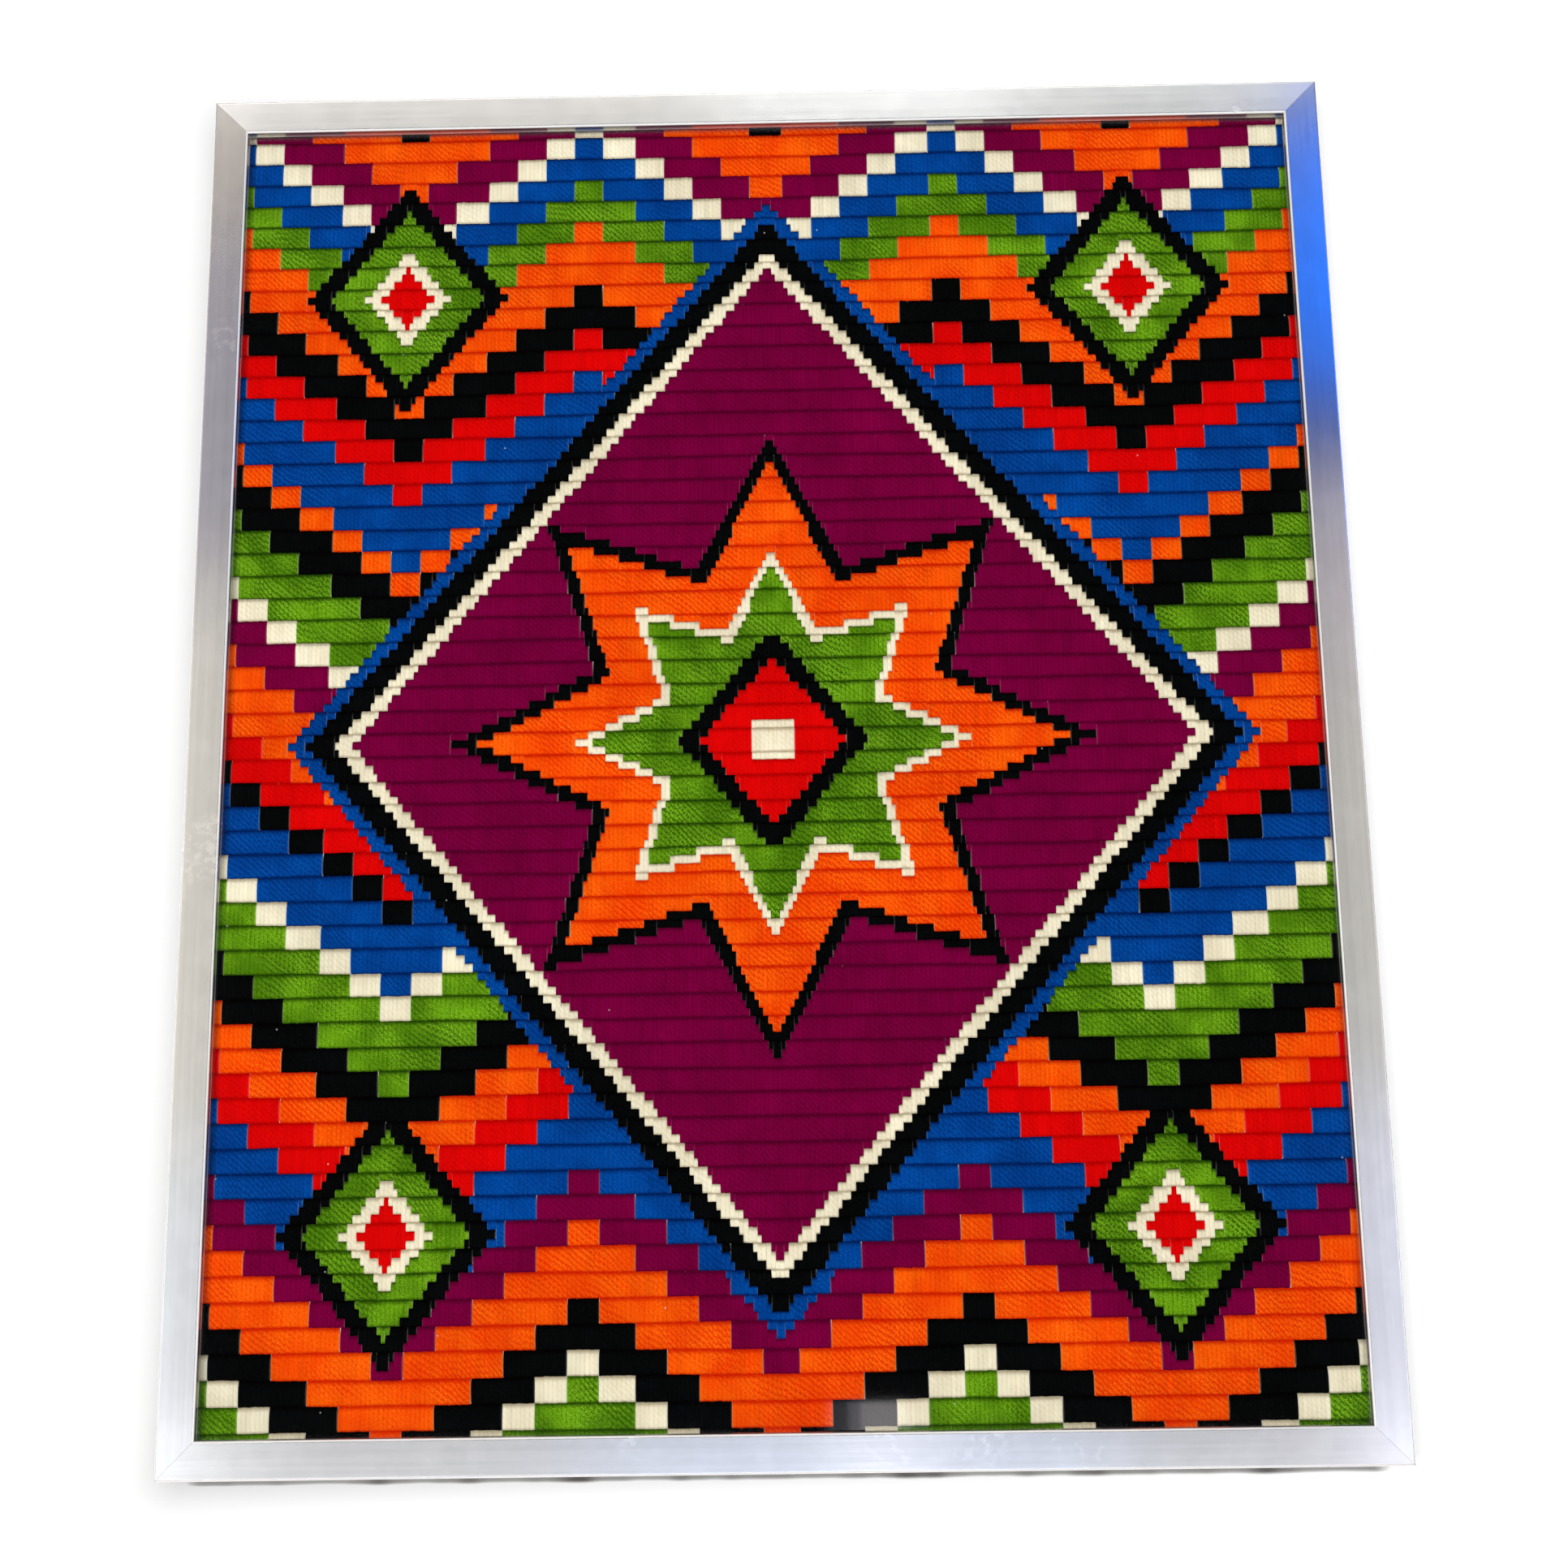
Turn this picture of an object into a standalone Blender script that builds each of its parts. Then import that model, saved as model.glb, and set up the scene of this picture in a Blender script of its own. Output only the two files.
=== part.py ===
"""Long-stitch wool embroidery on canvas, glazed, in a mitred metal section frame.

The picture lies on its back. +X is its right, +Y its top and +Z its front, in metres.
The origin is the middle of the frame's back, on the surface that it rests on.
From the back to the front each rail holds a board, the embroidered canvas and the glass,
which sit between a flange in the rail's middle and the lip round its face.
"""

import math

import bmesh
import bpy

MM = 0.001

# What the frame holds: one cut size for the glass, the canvas and the board
INSERT_WIDTH = 508 * MM
INSERT_HEIGHT = 610 * MM
INSERT_CLEARANCE = 1.4 * MM
GLASS_THICKNESS = 2.0 * MM
BOARD_THICKNESS = 5.0 * MM
SEAT = 0.3 * MM

# Section of a rail: its width seen from the front, and its walls, flanges and lip
FACE_WIDTH = 16.0 * MM
WALL = 1.6 * MM
LIP_HEIGHT = 4.3 * MM
MIDDLE_FLANGE_REACH = 11.0 * MM
BACK_FLANGE_REACH = 9.6 * MM
SLOT_HEIGHT = 5.6 * MM
NUB_HEIGHT = 1.0 * MM
NUB_WIDTH = 1.2 * MM
OUTER_EDGE_RADIUS = 0.8 * MM
LIP_EDGE_RADIUS = 0.5 * MM
BACK_EDGE_RADIUS = 0.5 * MM
EDGE_STEPS = 3
MITRE_GAP = 0.3 * MM

# Corner angles, which slide into the slots of two rails
ANGLE_LEG = 32.0 * MM
ANGLE_THICKNESS = 2.4 * MM

# Canvas and rows of upright stitches. A row is one stitch high, and its ends are grooves
CANVAS_THICKNESS = 0.8 * MM
STITCH_RELIEF = 2.0 * MM
GROOVE_RELIEF = 0.5 * MM
ROW_HEIGHT = 10.56 * MM
ROWS = 57
ROW_END_SLOPE = 0.5 * MM
STITCHED_WIDTH = 501.0 * MM
STRETCHES = 10

# Height across a row: share of the row, and share of the way from groove to crest
ROW_PROFILE = (
    (0.00, 0.00),
    (0.16, 0.74),
    (0.50, 1.00),
    (0.84, 0.80),
)

# Grooves wander off a straight line: size, length of one wave, and turn from row to row
WANDER = (
    {"size": 0.40 * MM, "wave": 310 * MM, "turn": 0.37},
    {"size": 0.25 * MM, "wave": 170 * MM, "turn": 0.83},
)

# Sizes that follow
FRAME_WIDTH = INSERT_WIDTH + 2 * (INSERT_CLEARANCE + WALL)
FRAME_HEIGHT = INSERT_HEIGHT + 2 * (INSERT_CLEARANCE + WALL)
SLOT_TOP = WALL + SLOT_HEIGHT
BOARD_BACK = SLOT_TOP + WALL + SEAT
CANVAS_BACK = BOARD_BACK + BOARD_THICKNESS + SEAT
CANVAS_FACE = CANVAS_BACK + CANVAS_THICKNESS
GLASS_BACK = CANVAS_FACE + STITCH_RELIEF + SEAT
LIP_BOTTOM = GLASS_BACK + GLASS_THICKNESS + SEAT
FRAME_DEPTH = LIP_BOTTOM + LIP_HEIGHT
STITCHED_HEIGHT = ROWS * ROW_HEIGHT

COLOURS = {
    "satin_metal": {"colour": (0.78, 0.78, 0.77), "roughness": 0.34, "metallic": 1.0, "alpha": 1.0},
    "plated_steel": {"colour": (0.62, 0.62, 0.60), "roughness": 0.42, "metallic": 1.0, "alpha": 1.0},
    "glazing": {"colour": (0.93, 0.96, 0.95), "roughness": 0.03, "metallic": 0.0, "alpha": 0.2},
    "wool": {"colour": (0.36, 0.01, 0.10), "roughness": 0.90, "metallic": 0.0, "alpha": 1.0},
    "board": {"colour": (0.46, 0.35, 0.23), "roughness": 0.85, "metallic": 0.0, "alpha": 1.0},
}


def clear_scene():
    """Removes every object that the open file holds."""
    for old in list(bpy.data.objects):
        bpy.data.objects.remove(old, do_unlink=True)


def make_material(name):
    """A plain material from the table of colours."""
    look = COLOURS[name]
    material = bpy.data.materials.new(name)
    material.use_nodes = True
    shader = material.node_tree.nodes["Principled BSDF"]
    shader.inputs["Base Color"].default_value = (*look["colour"], 1.0)
    shader.inputs["Roughness"].default_value = look["roughness"]
    shader.inputs["Metallic"].default_value = look["metallic"]
    shader.inputs["Alpha"].default_value = look["alpha"]
    return material


def add_object(name, bm, material, location=(0, 0, 0), turn=0.0):
    """Puts a finished mesh in the scene at a place, turned about Z."""
    bmesh.ops.recalc_face_normals(bm, faces=bm.faces)
    mesh = bpy.data.meshes.new(name)
    bm.to_mesh(mesh)
    bm.free()
    mesh.materials.append(material)
    obj = bpy.data.objects.new(name, mesh)
    obj.location = location
    obj.rotation_euler = (0, 0, turn)
    bpy.context.scene.collection.objects.link(obj)
    return obj


def rounded_corner(corner, start_angle, radius):
    """Points of a quarter turn inside a square corner, from start_angle on, anticlockwise."""
    middle_angle = math.radians(start_angle + 45)
    centre_u = corner[0] - math.copysign(radius, math.cos(middle_angle))
    centre_w = corner[1] - math.copysign(radius, math.sin(middle_angle))
    points = []
    for step in range(EDGE_STEPS + 1):
        angle = math.radians(start_angle + 90 * step / EDGE_STEPS)
        points.append((centre_u + radius * math.cos(angle), centre_w + radius * math.sin(angle)))
    return points


def rail_section():
    """Outline of a rail, anticlockwise: u runs in from its outer side, w up from its back."""
    return [
        *rounded_corner((0, 0), 180, BACK_EDGE_RADIUS),
        (BACK_FLANGE_REACH, 0),
        (BACK_FLANGE_REACH, WALL + NUB_HEIGHT),
        (BACK_FLANGE_REACH - NUB_WIDTH, WALL + NUB_HEIGHT),
        (BACK_FLANGE_REACH - NUB_WIDTH, WALL),
        (WALL, WALL),
        (WALL, SLOT_TOP),
        (MIDDLE_FLANGE_REACH, SLOT_TOP),
        (MIDDLE_FLANGE_REACH, SLOT_TOP + WALL),
        (WALL, SLOT_TOP + WALL),
        (WALL, FRAME_DEPTH - WALL),
        (FACE_WIDTH - WALL, FRAME_DEPTH - WALL),
        (FACE_WIDTH - WALL, LIP_BOTTOM),
        (FACE_WIDTH, LIP_BOTTOM),
        *rounded_corner((FACE_WIDTH, FRAME_DEPTH), 0, LIP_EDGE_RADIUS),
        *rounded_corner((0, FRAME_DEPTH), 90, OUTER_EDGE_RADIUS),
    ]


def make_rail(name, length, location, turn, material):
    """A length of the section with both ends cut at 45 degrees, shorter towards its inner side."""
    bm = bmesh.new()
    setback = MITRE_GAP / 2 * math.sqrt(2)
    start = [bm.verts.new((-length / 2, u, w)) for u, w in rail_section()]
    end_face = bm.faces.new(start)
    swept = bmesh.ops.extrude_face_region(bm, geom=[end_face], use_keep_orig=True)
    far_end = [item for item in swept["geom"] if isinstance(item, bmesh.types.BMVert)]
    bmesh.ops.translate(bm, verts=far_end, vec=(length, 0, 0))
    for vert in bm.verts:
        half = length / 2 - vert.co.y - setback
        vert.co.x = math.copysign(half, vert.co.x)
    return add_object(name, bm, material, location, turn)


def make_rails(material):
    """The four rails, each with its outer side on the frame's outline."""
    half_width = FRAME_WIDTH / 2
    half_height = FRAME_HEIGHT / 2
    make_rail("rail_bottom", FRAME_WIDTH, (0, -half_height, 0), 0, material)
    make_rail("rail_right", FRAME_HEIGHT, (half_width, 0, 0), math.pi / 2, material)
    make_rail("rail_top", FRAME_WIDTH, (0, half_height, 0), math.pi, material)
    make_rail("rail_left", FRAME_HEIGHT, (-half_width, 0, 0), -math.pi / 2, material)


def make_corner_angle(name, location, turn, material):
    """An L-shaped plate that lies on the back flanges of two rails, inside their slots."""
    outer = WALL + SEAT
    inner = BACK_FLANGE_REACH - NUB_WIDTH - SEAT
    bottom = WALL + SEAT
    outline = [
        (outer, outer),
        (outer + ANGLE_LEG, outer),
        (outer + ANGLE_LEG, inner),
        (inner, inner),
        (inner, outer + ANGLE_LEG),
        (outer, outer + ANGLE_LEG),
    ]
    bm = bmesh.new()
    base = bm.faces.new([bm.verts.new((x, y, bottom)) for x, y in outline])
    swept = bmesh.ops.extrude_face_region(bm, geom=[base], use_keep_orig=True)
    top = [item for item in swept["geom"] if isinstance(item, bmesh.types.BMVert)]
    bmesh.ops.translate(bm, verts=top, vec=(0, 0, ANGLE_THICKNESS))
    return add_object(name, bm, material, location, turn)


def make_corner_angles(material):
    """One angle in each corner, turned to point along its two rails."""
    half_width = FRAME_WIDTH / 2
    half_height = FRAME_HEIGHT / 2
    corners = (
        ("corner_angle_bottom_left", (-half_width, -half_height, 0)),
        ("corner_angle_bottom_right", (half_width, -half_height, 0)),
        ("corner_angle_top_right", (half_width, half_height, 0)),
        ("corner_angle_top_left", (-half_width, half_height, 0)),
    )
    for quarter, (name, location) in enumerate(corners):
        make_corner_angle(name, location, quarter * math.pi / 2, material)


def make_slab(name, bottom, thickness, material):
    """A flat sheet of the insert's size."""
    bm = bmesh.new()
    bmesh.ops.create_cube(bm, size=1.0)
    bmesh.ops.scale(bm, verts=bm.verts, vec=(INSERT_WIDTH, INSERT_HEIGHT, thickness))
    bmesh.ops.translate(bm, verts=bm.verts, vec=(0, 0, bottom + thickness / 2))
    return add_object(name, bm, material)


def groove_wander(row, x):
    """How far a groove lies off its straight line at x, the same on both sides of the middle."""
    if row in (0, ROWS):
        return 0.0
    return sum(
        wave["size"] * math.cos(2 * math.pi * (x / wave["wave"])) * math.cos(2 * math.pi * wave["turn"] * row)
        for wave in WANDER
    )


def row_lines():
    """Lines across the canvas from bottom to top: the row, the share of it, and the height."""
    lines = []
    for row in range(ROWS):
        for share, rise in ROW_PROFILE:
            height = GROOVE_RELIEF + rise * (STITCH_RELIEF - GROOVE_RELIEF)
            lines.append((row, share, CANVAS_FACE + height))
    lines.append((ROWS, 0.0, CANVAS_FACE + GROOVE_RELIEF))
    return lines


def line_y(row, share, x):
    """Where a line across the canvas lies at x, between the grooves below and above it."""
    low = row * ROW_HEIGHT + groove_wander(row, x)
    if share == 0.0:
        return low - STITCHED_HEIGHT / 2
    high = (row + 1) * ROW_HEIGHT + groove_wander(row + 1, x)
    return low + share * (high - low) - STITCHED_HEIGHT / 2


def canvas_columns():
    """Places across the canvas: its two edges, the ends of the rows, and even steps between."""
    edge = INSERT_WIDTH / 2
    slope_foot = STITCHED_WIDTH / 2 + ROW_END_SLOPE
    steps = [STITCHED_WIDTH * (step / STRETCHES - 0.5) for step in range(STRETCHES + 1)]
    return [-edge, -slope_foot, *steps, slope_foot, edge]


def make_needlework(material):
    """The canvas with its rows of stitches raised in one closed sheet, and bare edges."""
    bm = bmesh.new()
    columns = canvas_columns()
    last = len(columns) - 1
    bare = (0, 1, last - 1, last)
    grid = []
    for row, share, height in row_lines():
        line = []
        for index, x in enumerate(columns):
            level = CANVAS_FACE if index in bare else height
            line.append(bm.verts.new((x, line_y(row, share, x), level)))
        grid.append(line)
    edge = INSERT_HEIGHT / 2
    slope_foot = STITCHED_HEIGHT / 2 + ROW_END_SLOPE
    for y in (-slope_foot, -edge):
        grid.insert(0, [bm.verts.new((x, y, CANVAS_FACE)) for x in columns])
    for y in (slope_foot, edge):
        grid.append([bm.verts.new((x, y, CANVAS_FACE)) for x in columns])
    for low, high in zip(grid, grid[1:]):
        for index in range(last):
            bm.faces.new((low[index], low[index + 1], high[index + 1], high[index]))
    corners = [
        bm.verts.new((line[index].co.x, line[index].co.y, CANVAS_BACK))
        for line, index in ((grid[0], 0), (grid[0], last), (grid[-1], last), (grid[-1], 0))
    ]
    bm.faces.new(corners)
    bm.faces.new([*reversed(grid[0]), corners[0], corners[1]])
    bm.faces.new([*grid[-1], corners[2], corners[3]])
    bm.faces.new([*(line[0] for line in grid), corners[3], corners[0]])
    bm.faces.new([*(line[last] for line in reversed(grid)), corners[1], corners[2]])
    return add_object("needlework", bm, material)


def main():
    """Builds every piece, from the board at the back to the rails round it."""
    clear_scene()
    satin_metal = make_material("satin_metal")
    make_slab("backing_board", BOARD_BACK, BOARD_THICKNESS, make_material("board"))
    make_needlework(make_material("wool"))
    make_slab("glass", GLASS_BACK, GLASS_THICKNESS, make_material("glazing"))
    make_rails(satin_metal)
    make_corner_angles(make_material("plated_steel"))


main()
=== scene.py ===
"""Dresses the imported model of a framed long-stitch tapestry that lies face up.

+X is the picture's right, +Y its top and +Z its front, in metres. Every stitch is a piece
of yarn of its own on a sheet of canvas, and the rails are made again with finely rounded
edges. The glass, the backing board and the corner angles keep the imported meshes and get
finishes.
"""

import logging
import math
from dataclasses import dataclass
from enum import Enum, IntEnum

import bpy
import numpy as np
from mathutils import Matrix, Vector
from numpy.typing import NDArray


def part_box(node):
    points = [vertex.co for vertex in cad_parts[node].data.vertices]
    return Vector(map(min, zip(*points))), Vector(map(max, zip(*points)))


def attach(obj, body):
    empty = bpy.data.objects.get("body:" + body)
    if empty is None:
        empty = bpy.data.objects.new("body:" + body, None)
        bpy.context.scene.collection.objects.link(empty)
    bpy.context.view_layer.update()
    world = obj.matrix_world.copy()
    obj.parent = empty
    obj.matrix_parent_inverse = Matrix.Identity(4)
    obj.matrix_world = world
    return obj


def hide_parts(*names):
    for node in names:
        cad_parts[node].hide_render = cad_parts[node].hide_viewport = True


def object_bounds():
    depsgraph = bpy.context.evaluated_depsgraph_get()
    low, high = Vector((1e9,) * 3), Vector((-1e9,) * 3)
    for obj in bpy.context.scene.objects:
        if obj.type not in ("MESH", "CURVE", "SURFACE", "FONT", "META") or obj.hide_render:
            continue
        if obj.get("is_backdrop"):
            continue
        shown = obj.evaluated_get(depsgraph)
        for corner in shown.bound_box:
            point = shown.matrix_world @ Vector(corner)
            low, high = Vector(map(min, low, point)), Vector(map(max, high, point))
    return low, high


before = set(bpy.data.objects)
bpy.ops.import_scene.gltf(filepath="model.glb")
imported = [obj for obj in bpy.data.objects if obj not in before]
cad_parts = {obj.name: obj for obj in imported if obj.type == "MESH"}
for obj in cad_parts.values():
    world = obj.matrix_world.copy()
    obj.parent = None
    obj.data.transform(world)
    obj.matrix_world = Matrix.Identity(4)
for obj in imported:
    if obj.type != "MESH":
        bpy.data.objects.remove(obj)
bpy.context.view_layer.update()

LOG = logging.getLogger("tapestry")
MM = 0.001

Floats = NDArray[np.float64]
Ints = NDArray[np.int64]
Pair = tuple[float, float]
Colour = tuple[float, float, float]
Point = tuple[float, float, float]
# Where a ramp starts and ends, and then its results there, where they aren't 0 and 1.
Ramp = tuple[float, ...]
Socket = bpy.types.NodeSocket
Input = Socket | float | tuple[float, ...]


@dataclass(frozen=True)
class Clouds:
    """Noise taken through a ramp: its cells in a metre, the ramp, and how fine its detail is."""

    scale: float
    ramp: Ramp
    detail: float = 2.0


class Bench:
    """Adds nodes to one node tree and joins them up."""

    def __init__(self, tree: bpy.types.NodeTree) -> None:
        """Keeps the tree that the nodes go into."""
        self.tree = tree

    def feed(self, socket: Socket, value: Input) -> None:
        """Links another node's output to a socket, or gives it a fixed value.

        Args:
            socket: The socket.
            value: The output, a number, a vector, or a colour that is taken as opaque.
        """
        if isinstance(value, Socket):
            self.tree.links.new(value, socket)
        elif socket.type == "RGBA":
            socket.default_value = (*value, 1.0)
        else:
            socket.default_value = value

    def add(
        self, kind: str, inputs: dict[str | int, Input] | None = None, **settings: object
    ) -> bpy.types.Node:
        """Adds one node.

        Args:
            kind: The node's type, without the word ShaderNode before it.
            inputs: What goes into its sockets, by name or by number.
            settings: Its properties, by name.

        Returns:
            The new node.
        """
        node = self.tree.nodes.new("ShaderNode" + kind)
        for name, value in settings.items():
            setattr(node, name, value)
        for socket, value in (inputs or {}).items():
            self.feed(node.inputs[socket], value)
        return node

    def math(self, operation: str, *values: Input) -> Socket:
        """The result of one sum, product or other operation on numbers."""
        return self.add("Math", dict(enumerate(values)), operation=operation).outputs[0]

    def times(self, first: Input, second: Input) -> Socket:
        """The product of two numbers."""
        return self.math("MULTIPLY", first, second)

    def ramp(
        self, value: Input, start: float, end: float, low: float = 0.0, high: float = 1.0
    ) -> Socket:
        """A value taken smoothly from low to high as the input goes from start to end.

        Args:
            value: The input.
            start: Where the ramp starts.
            end: Where it ends.
            low: The result at the start and before.
            high: The result at the end and after.

        Returns:
            The result's socket.
        """
        inputs = {0: value, 1: start, 2: end, 3: low, 4: high}
        return self.add("MapRange", inputs, interpolation_type="SMOOTHSTEP").outputs[0]

    def blend(self, share: Input, first: Input, second: Input, way: str = "MIX") -> Socket:
        """A mix of two colours.

        Args:
            share: How much of the second colour there is.
            first: The first colour.
            second: The second colour.
            way: The blend type.

        Returns:
            The result's socket.
        """
        inputs = {0: share, 6: first, 7: second}
        return self.add("Mix", inputs, data_type="RGBA", blend_type=way).outputs[2]

    def layers(self, colour: Input, *layers: tuple[Input, Input]) -> Input:
        """Lays colours over a first one in turn.

        Args:
            colour: The first colour.
            layers: The share of each layer and its colour, from the lowest up.

        Returns:
            The colour of them all.
        """
        for share, layer in layers:
            colour = self.blend(share, colour, layer)
        return colour

    def noise(self, place: Input, scale: float, detail: float = 2.0) -> Socket:
        """Noise round 0.5 at a place, with so many cells in each unit of length."""
        return self.add("TexNoise", {"Vector": place, "Scale": scale, "Detail": detail}).outputs[0]

    def clouds(self, place: Input, clouds: Clouds) -> Socket:
        """Noise at a place, taken through its ramp."""
        return self.ramp(self.noise(place, clouds.scale, clouds.detail), *clouds.ramp)

    def place(self) -> Socket:
        """The point on the piece, in metres."""
        return self.add("TexCoord").outputs["Object"]

    def surface(self) -> tuple[Socket, Socket]:
        """The two numbers of the piece's surface map, in millimetres."""
        return self.parts(self.add("UVMap", uv_map="surface").outputs[0])[:2]

    def reading(self, name: str) -> Socket:
        """A reading that the mesh holds at its points."""
        return self.add("Attribute", attribute_name=name).outputs["Fac"]

    def vector(self, x: Input, y: Input, z: Input = 0.0) -> Socket:
        """Three numbers as one vector."""
        return self.add("CombineXYZ", {0: x, 1: y, 2: z}).outputs[0]

    def parts(self, vector: Socket) -> tuple[Socket, ...]:
        """A vector's three numbers."""
        return tuple(self.add("SeparateXYZ", {0: vector}).outputs)

    def bump(self, shader: bpy.types.Node, strength: float, depth: float, height: Input) -> None:
        """Raises a shader's surface by a height, with a depth in metres where the height is 1."""
        bump = self.add("Bump", {"Strength": strength, "Distance": depth, "Height": height})
        self.feed(shader.inputs["Normal"], bump.outputs[0])


def surface_material(name: str, **fixed: Input) -> tuple[bpy.types.Material, Bench, bpy.types.Node]:
    """Starts a material round the usual surface shader.

    Args:
        name: The material's name.
        fixed: Constants for the shader's own sockets, with _ for a space.

    Returns:
        The material, a bench on its nodes, and the shader.
    """
    material = bpy.data.materials.new(name)
    material.use_nodes = True
    bench = Bench(material.node_tree)
    shader = material.node_tree.nodes["Principled BSDF"]
    for socket, value in fixed.items():
        bench.feed(shader.inputs[socket.replace("_", " ")], value)
    return material, bench, shader


@dataclass
class Shell:
    """One mesh as arrays: points, faces of one or more sizes, and what the finish reads."""

    points: Floats
    faces: list[Ints]
    corner_uv: Floats
    readings: dict[str, Floats]
    normals: Floats | None = None
    smooth: bool = True

    def build(self, name: str, material: bpy.types.Material) -> bpy.types.Object:
        """Makes the mesh and its object, riding on the one body.

        Args:
            name: The piece's name.
            material: Its finish.

        Returns:
            The object, at the origin.
        """
        corners = np.concatenate([face.ravel() for face in self.faces])
        sizes = np.concatenate([np.full(len(face), face.shape[1]) for face in self.faces])
        starts = np.concatenate([[0], np.cumsum(sizes)[:-1]])
        mesh = bpy.data.meshes.new(name)
        mesh.vertices.add(len(self.points))
        mesh.vertices.foreach_set("co", self.points.astype(np.float32).ravel())
        mesh.loops.add(len(corners))
        mesh.loops.foreach_set("vertex_index", corners.astype(np.int32))
        mesh.polygons.add(len(sizes))
        mesh.polygons.foreach_set("loop_start", starts.astype(np.int32))
        mesh.polygons.foreach_set("use_smooth", np.full(len(sizes), self.smooth))
        mesh.update(calc_edges=True)
        uv = mesh.uv_layers.new(name="surface")
        uv.uv.foreach_set("vector", self.corner_uv.astype(np.float32).ravel())
        for reading, values in self.readings.items():
            attribute = mesh.attributes.new(reading, "FLOAT", "POINT")
            attribute.data.foreach_set("value", values.astype(np.float32).ravel())
        if self.normals is not None:
            mesh.normals_split_custom_set_from_vertices(self.normals)
        mesh.materials.append(material)
        obj = bpy.data.objects.new(name, mesh)
        bpy.context.scene.collection.objects.link(obj)
        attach(obj, "root")
        triangles = int((sizes - 2).sum())
        LOG.info("%s: %d points, %d triangles", name, len(self.points), triangles)
        return obj


class Wool(IntEnum):
    """The yarns, each of one colour."""

    RED = 0
    PLUM = 1
    ORANGE = 2
    GREEN = 3
    BLUE = 4
    BLACK = 5
    ECRU = 6


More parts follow.
